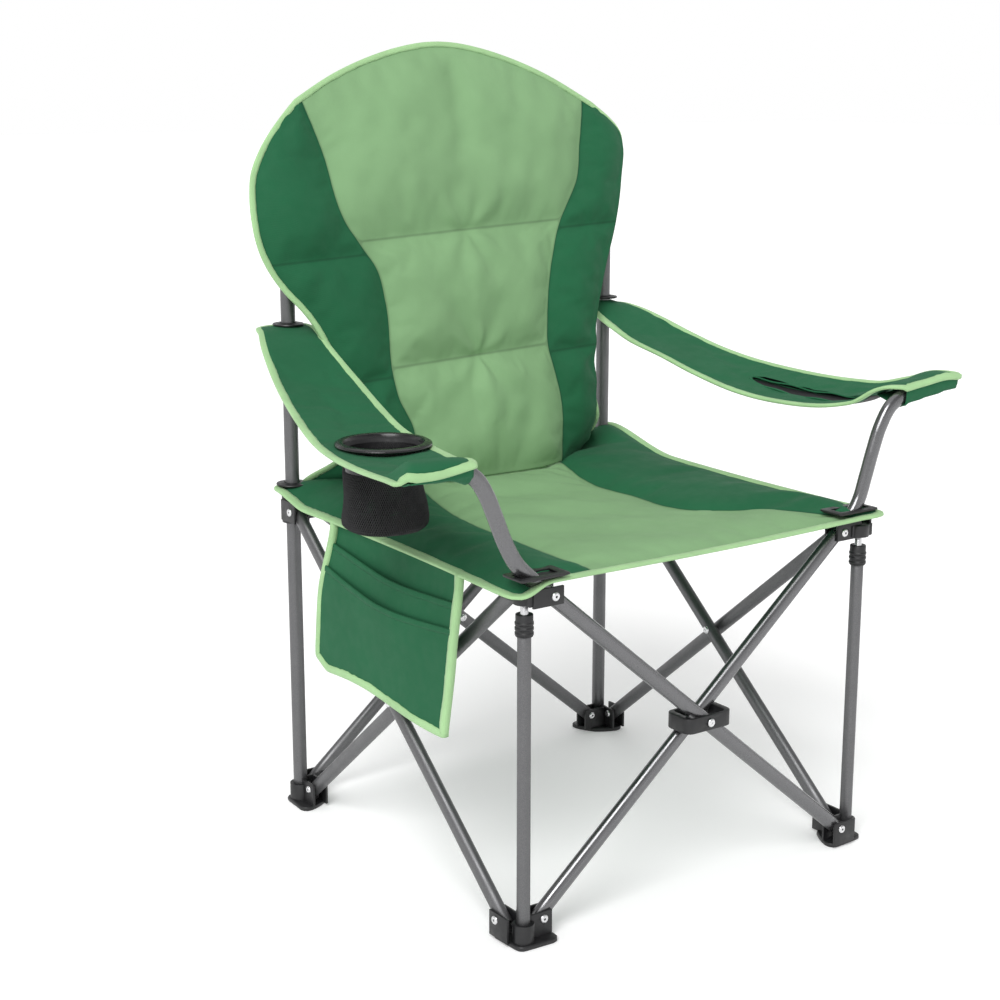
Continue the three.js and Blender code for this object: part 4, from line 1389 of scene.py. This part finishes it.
def make_fittings():
    for name, (turns, foot_body, head_body) in CORNERS.items():
        lug_rivets(f"{name}_foot_rivets", turns, LANE, LOW, foot_body)
        lug_rivets(f"{name}_head_rivets", turns, -LANE, HIGH, head_body)
    for pair in ("rear", "left", "right"):
        crossing_rivet(f"{pair}_cross_rivet", f"{pair}_cross_a", LANE + TUBE_R + 0.4)
    crossing_rivet("front_hub_rivet", "front_hub", 22.5)
    for obj in frame["nodes"].values():
        if obj.hide_render:
            continue
        obj.data.materials.clear()
        obj.data.materials.append(PLASTIC)
        obj.data.polygons.foreach_set("use_smooth", [True] * len(obj.data.polygons))
        weld = obj.modifiers.new("weld", "WELD")
        weld.merge_threshold = 0.00002
        bevel(obj, 0.7)


def make_plate_liners():
    """Black webbing on the seat under each front plate, seen through its slot."""
    for name in ("front_left", "front_right"):
        low, high = (plan(p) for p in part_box(f"{name}_seat_plate"))
        x = np.linspace(low[0] + 3, high[0] - 3, 30)
        y = np.linspace(low[1] + 3, high[1] - 3, 16)[:, None]
        z = low[2] - 0.9 + 0.3 * np.sin(x / 3)
        piece = cloth_sheet(f"{name}_plate_liner", np.stack([x + 0 * y, y + 0 * x, z + 0 * y], 2), MESH, 0.8)
        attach(piece, f"{name}_bracket")


def make_grommets():
    spots = {
        "rear_left_seat_grommet": "rear_left_slider",
        "rear_right_seat_grommet": "rear_right_slider",
        "left_arm_grommet": "root",
        "right_arm_grommet": "rear_right_leg",
    }
    for node, body in spots.items():
        low, high = (plan(p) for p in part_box(node))
        centre = np.array([*(low[:2] + high[:2]) / 2, low[2]])
        outer = (high[0] - low[0]) / 2
        inner = POST_R + 1.2
        ring = [
            (inner, -1.0), (outer - 1, -1.0), (outer, 0.2), (outer - 0.6, 1.4), (outer - 3, 1.9),
            (inner + 6, 1.5), (inner + 3.5, 2.6), (inner + 1, 2.8), (inner, 2.0), (inner, -1.0),
        ]
        piece = turned(node + "_ring", centre, (0, 0, 1), ring, PLASTIC, 48)
        sharp_by_angle(piece)
        stand_for(piece, node, body)


# ---- sleeves that hold the back on the posts ----------------------------------------------------------
def make_post_sleeves():
    reach = POST_R + 2.4
    bend = np.radians(np.linspace(200, -20, 15))
    for side, body, low in ((-1, "root", 764), (1, "rear_right_leg", 810)):
        high = 831
        rows = []
        for t in np.linspace(0, 1, 26):
            z = low + t * (high - low)
            face = back_lean(z) + 3 - LEG
            x = np.array([1 - reach, -reach, *(reach * np.cos(bend)), reach, reach - 1])
            y = np.array([face, face + 2, *(reach * np.sin(bend) * 1.05), face + 2, face])
            pinch = 1 - 0.75 * step(t, 0.93, 1.0)
            y = np.where(y > 0, y * pinch + 0.7 * math.sin(z / 6), y)
            rows.append(np.stack([side * LEG + x, LEG + y, np.full(len(x), z)], 1))
        points = np.array(rows)
        obj = cloth_sheet(f"{side_name(side)}_post_sleeve", points, DARK, 1.4)
        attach(obj, body)


# ---- floor, light and camera --------------------------------------------------------------------------
HORIZON_LIGHT, SKY_LIGHT = 1.0, 0.35
FLOOR = 30  # metres from the middle to the floor's edge
FLOOR_WHITE = (0.9, 0.9, 0.9)
FLOOR_GLOW = 0.17  # lifts the shade under the chair, as in a white studio


def make_stage():
    floor = Paint("pale_floor", FLOOR_WHITE, 0.85)
    floor.colour(floor.shade(floor.plain(FLOOR_WHITE), floor.band(floor.noise(3), 0.3, 0.7, 0.99, 1.0)))
    floor.shader.inputs["Emission Color"].default_value = (1, 1, 1, 1)
    floor.shader.inputs["Emission Strength"].default_value = FLOOR_GLOW
    mesh = bpy.data.meshes.new("floor")
    corners = [(-FLOOR, -FLOOR, 0), (FLOOR, -FLOOR, 0), (FLOOR, FLOOR, 0), (-FLOOR, FLOOR, 0)]
    mesh.from_pydata(corners, [], [(0, 1, 2, 3)])
    obj = bpy.data.objects.new("floor", mesh)
    bpy.context.scene.collection.objects.link(obj)
    obj.data.materials.append(floor.material)
    world = bpy.data.worlds.new("studio")
    bpy.context.scene.world = world
    world.use_nodes = True
    nodes, links = world.node_tree.nodes, world.node_tree.links
    place = nodes.new("ShaderNodeTexCoord")
    split = nodes.new("ShaderNodeSeparateXYZ")
    fade = nodes.new("ShaderNodeMapRange")
    set_range(fade, (0.25, 0.6, HORIZON_LIGHT, SKY_LIGHT))
    links.new(place.outputs["Generated"], split.inputs[0])
    links.new(split.outputs["Z"], fade.inputs["Value"])
    links.new(fade.outputs["Result"], nodes["Background"].inputs["Strength"])
    nodes["Background"].inputs["Color"].default_value = (1, 1, 1, 1)
    bpy.context.scene.view_settings.view_transform = "Standard"


def sun(name, direction, strength, softness):
    data = bpy.data.lights.new(name, "SUN")
    data.energy = strength
    data.angle = math.radians(softness)
    obj = bpy.data.objects.new(name, data)
    bpy.context.scene.collection.objects.link(obj)
    obj.rotation_euler = Vector(direction).to_track_quat("-Z", "Y").to_euler()


def make_lights():
    sun("key", (1.0, 0.75, -1.25), 2.35, 34)
    sun("top", (-0.1, -0.25, -1.0), 0.7, 70)


CAMERA_PLACE = [-1393.6, -1812.0, 980.7]
CAMERA_TURN, CAMERA_DOWN = 35.31, 13.18  # degrees from +Y towards +X, and down
CAMERA_LENS, CAMERA_SENSOR = 64.6, 36


def make_camera():
    data = bpy.data.cameras.new("camera")
    data.sensor_width = CAMERA_SENSOR
    data.lens = CAMERA_LENS
    data.clip_start, data.clip_end = 0.05, 100
    obj = bpy.data.objects.new("camera", data)
    bpy.context.scene.collection.objects.link(obj)
    turn = Matrix.Rotation(math.radians(-CAMERA_TURN), 4, "Z")
    tilt = Matrix.Rotation(math.radians(90 - CAMERA_DOWN), 4, "X")
    obj.matrix_world = Matrix.Translation(put(CAMERA_PLACE)) @ turn @ tilt
    bpy.context.scene.camera = obj


make_camera()
make_stage()
make_lights()
make_tubes()
make_seat()
make_back()
for side in (-1, 1):
    make_arm(side)
make_cup()
make_slot_pocket()
make_side_pockets()
make_post_sleeves()
make_grommets()
make_plate_liners()
make_fittings()
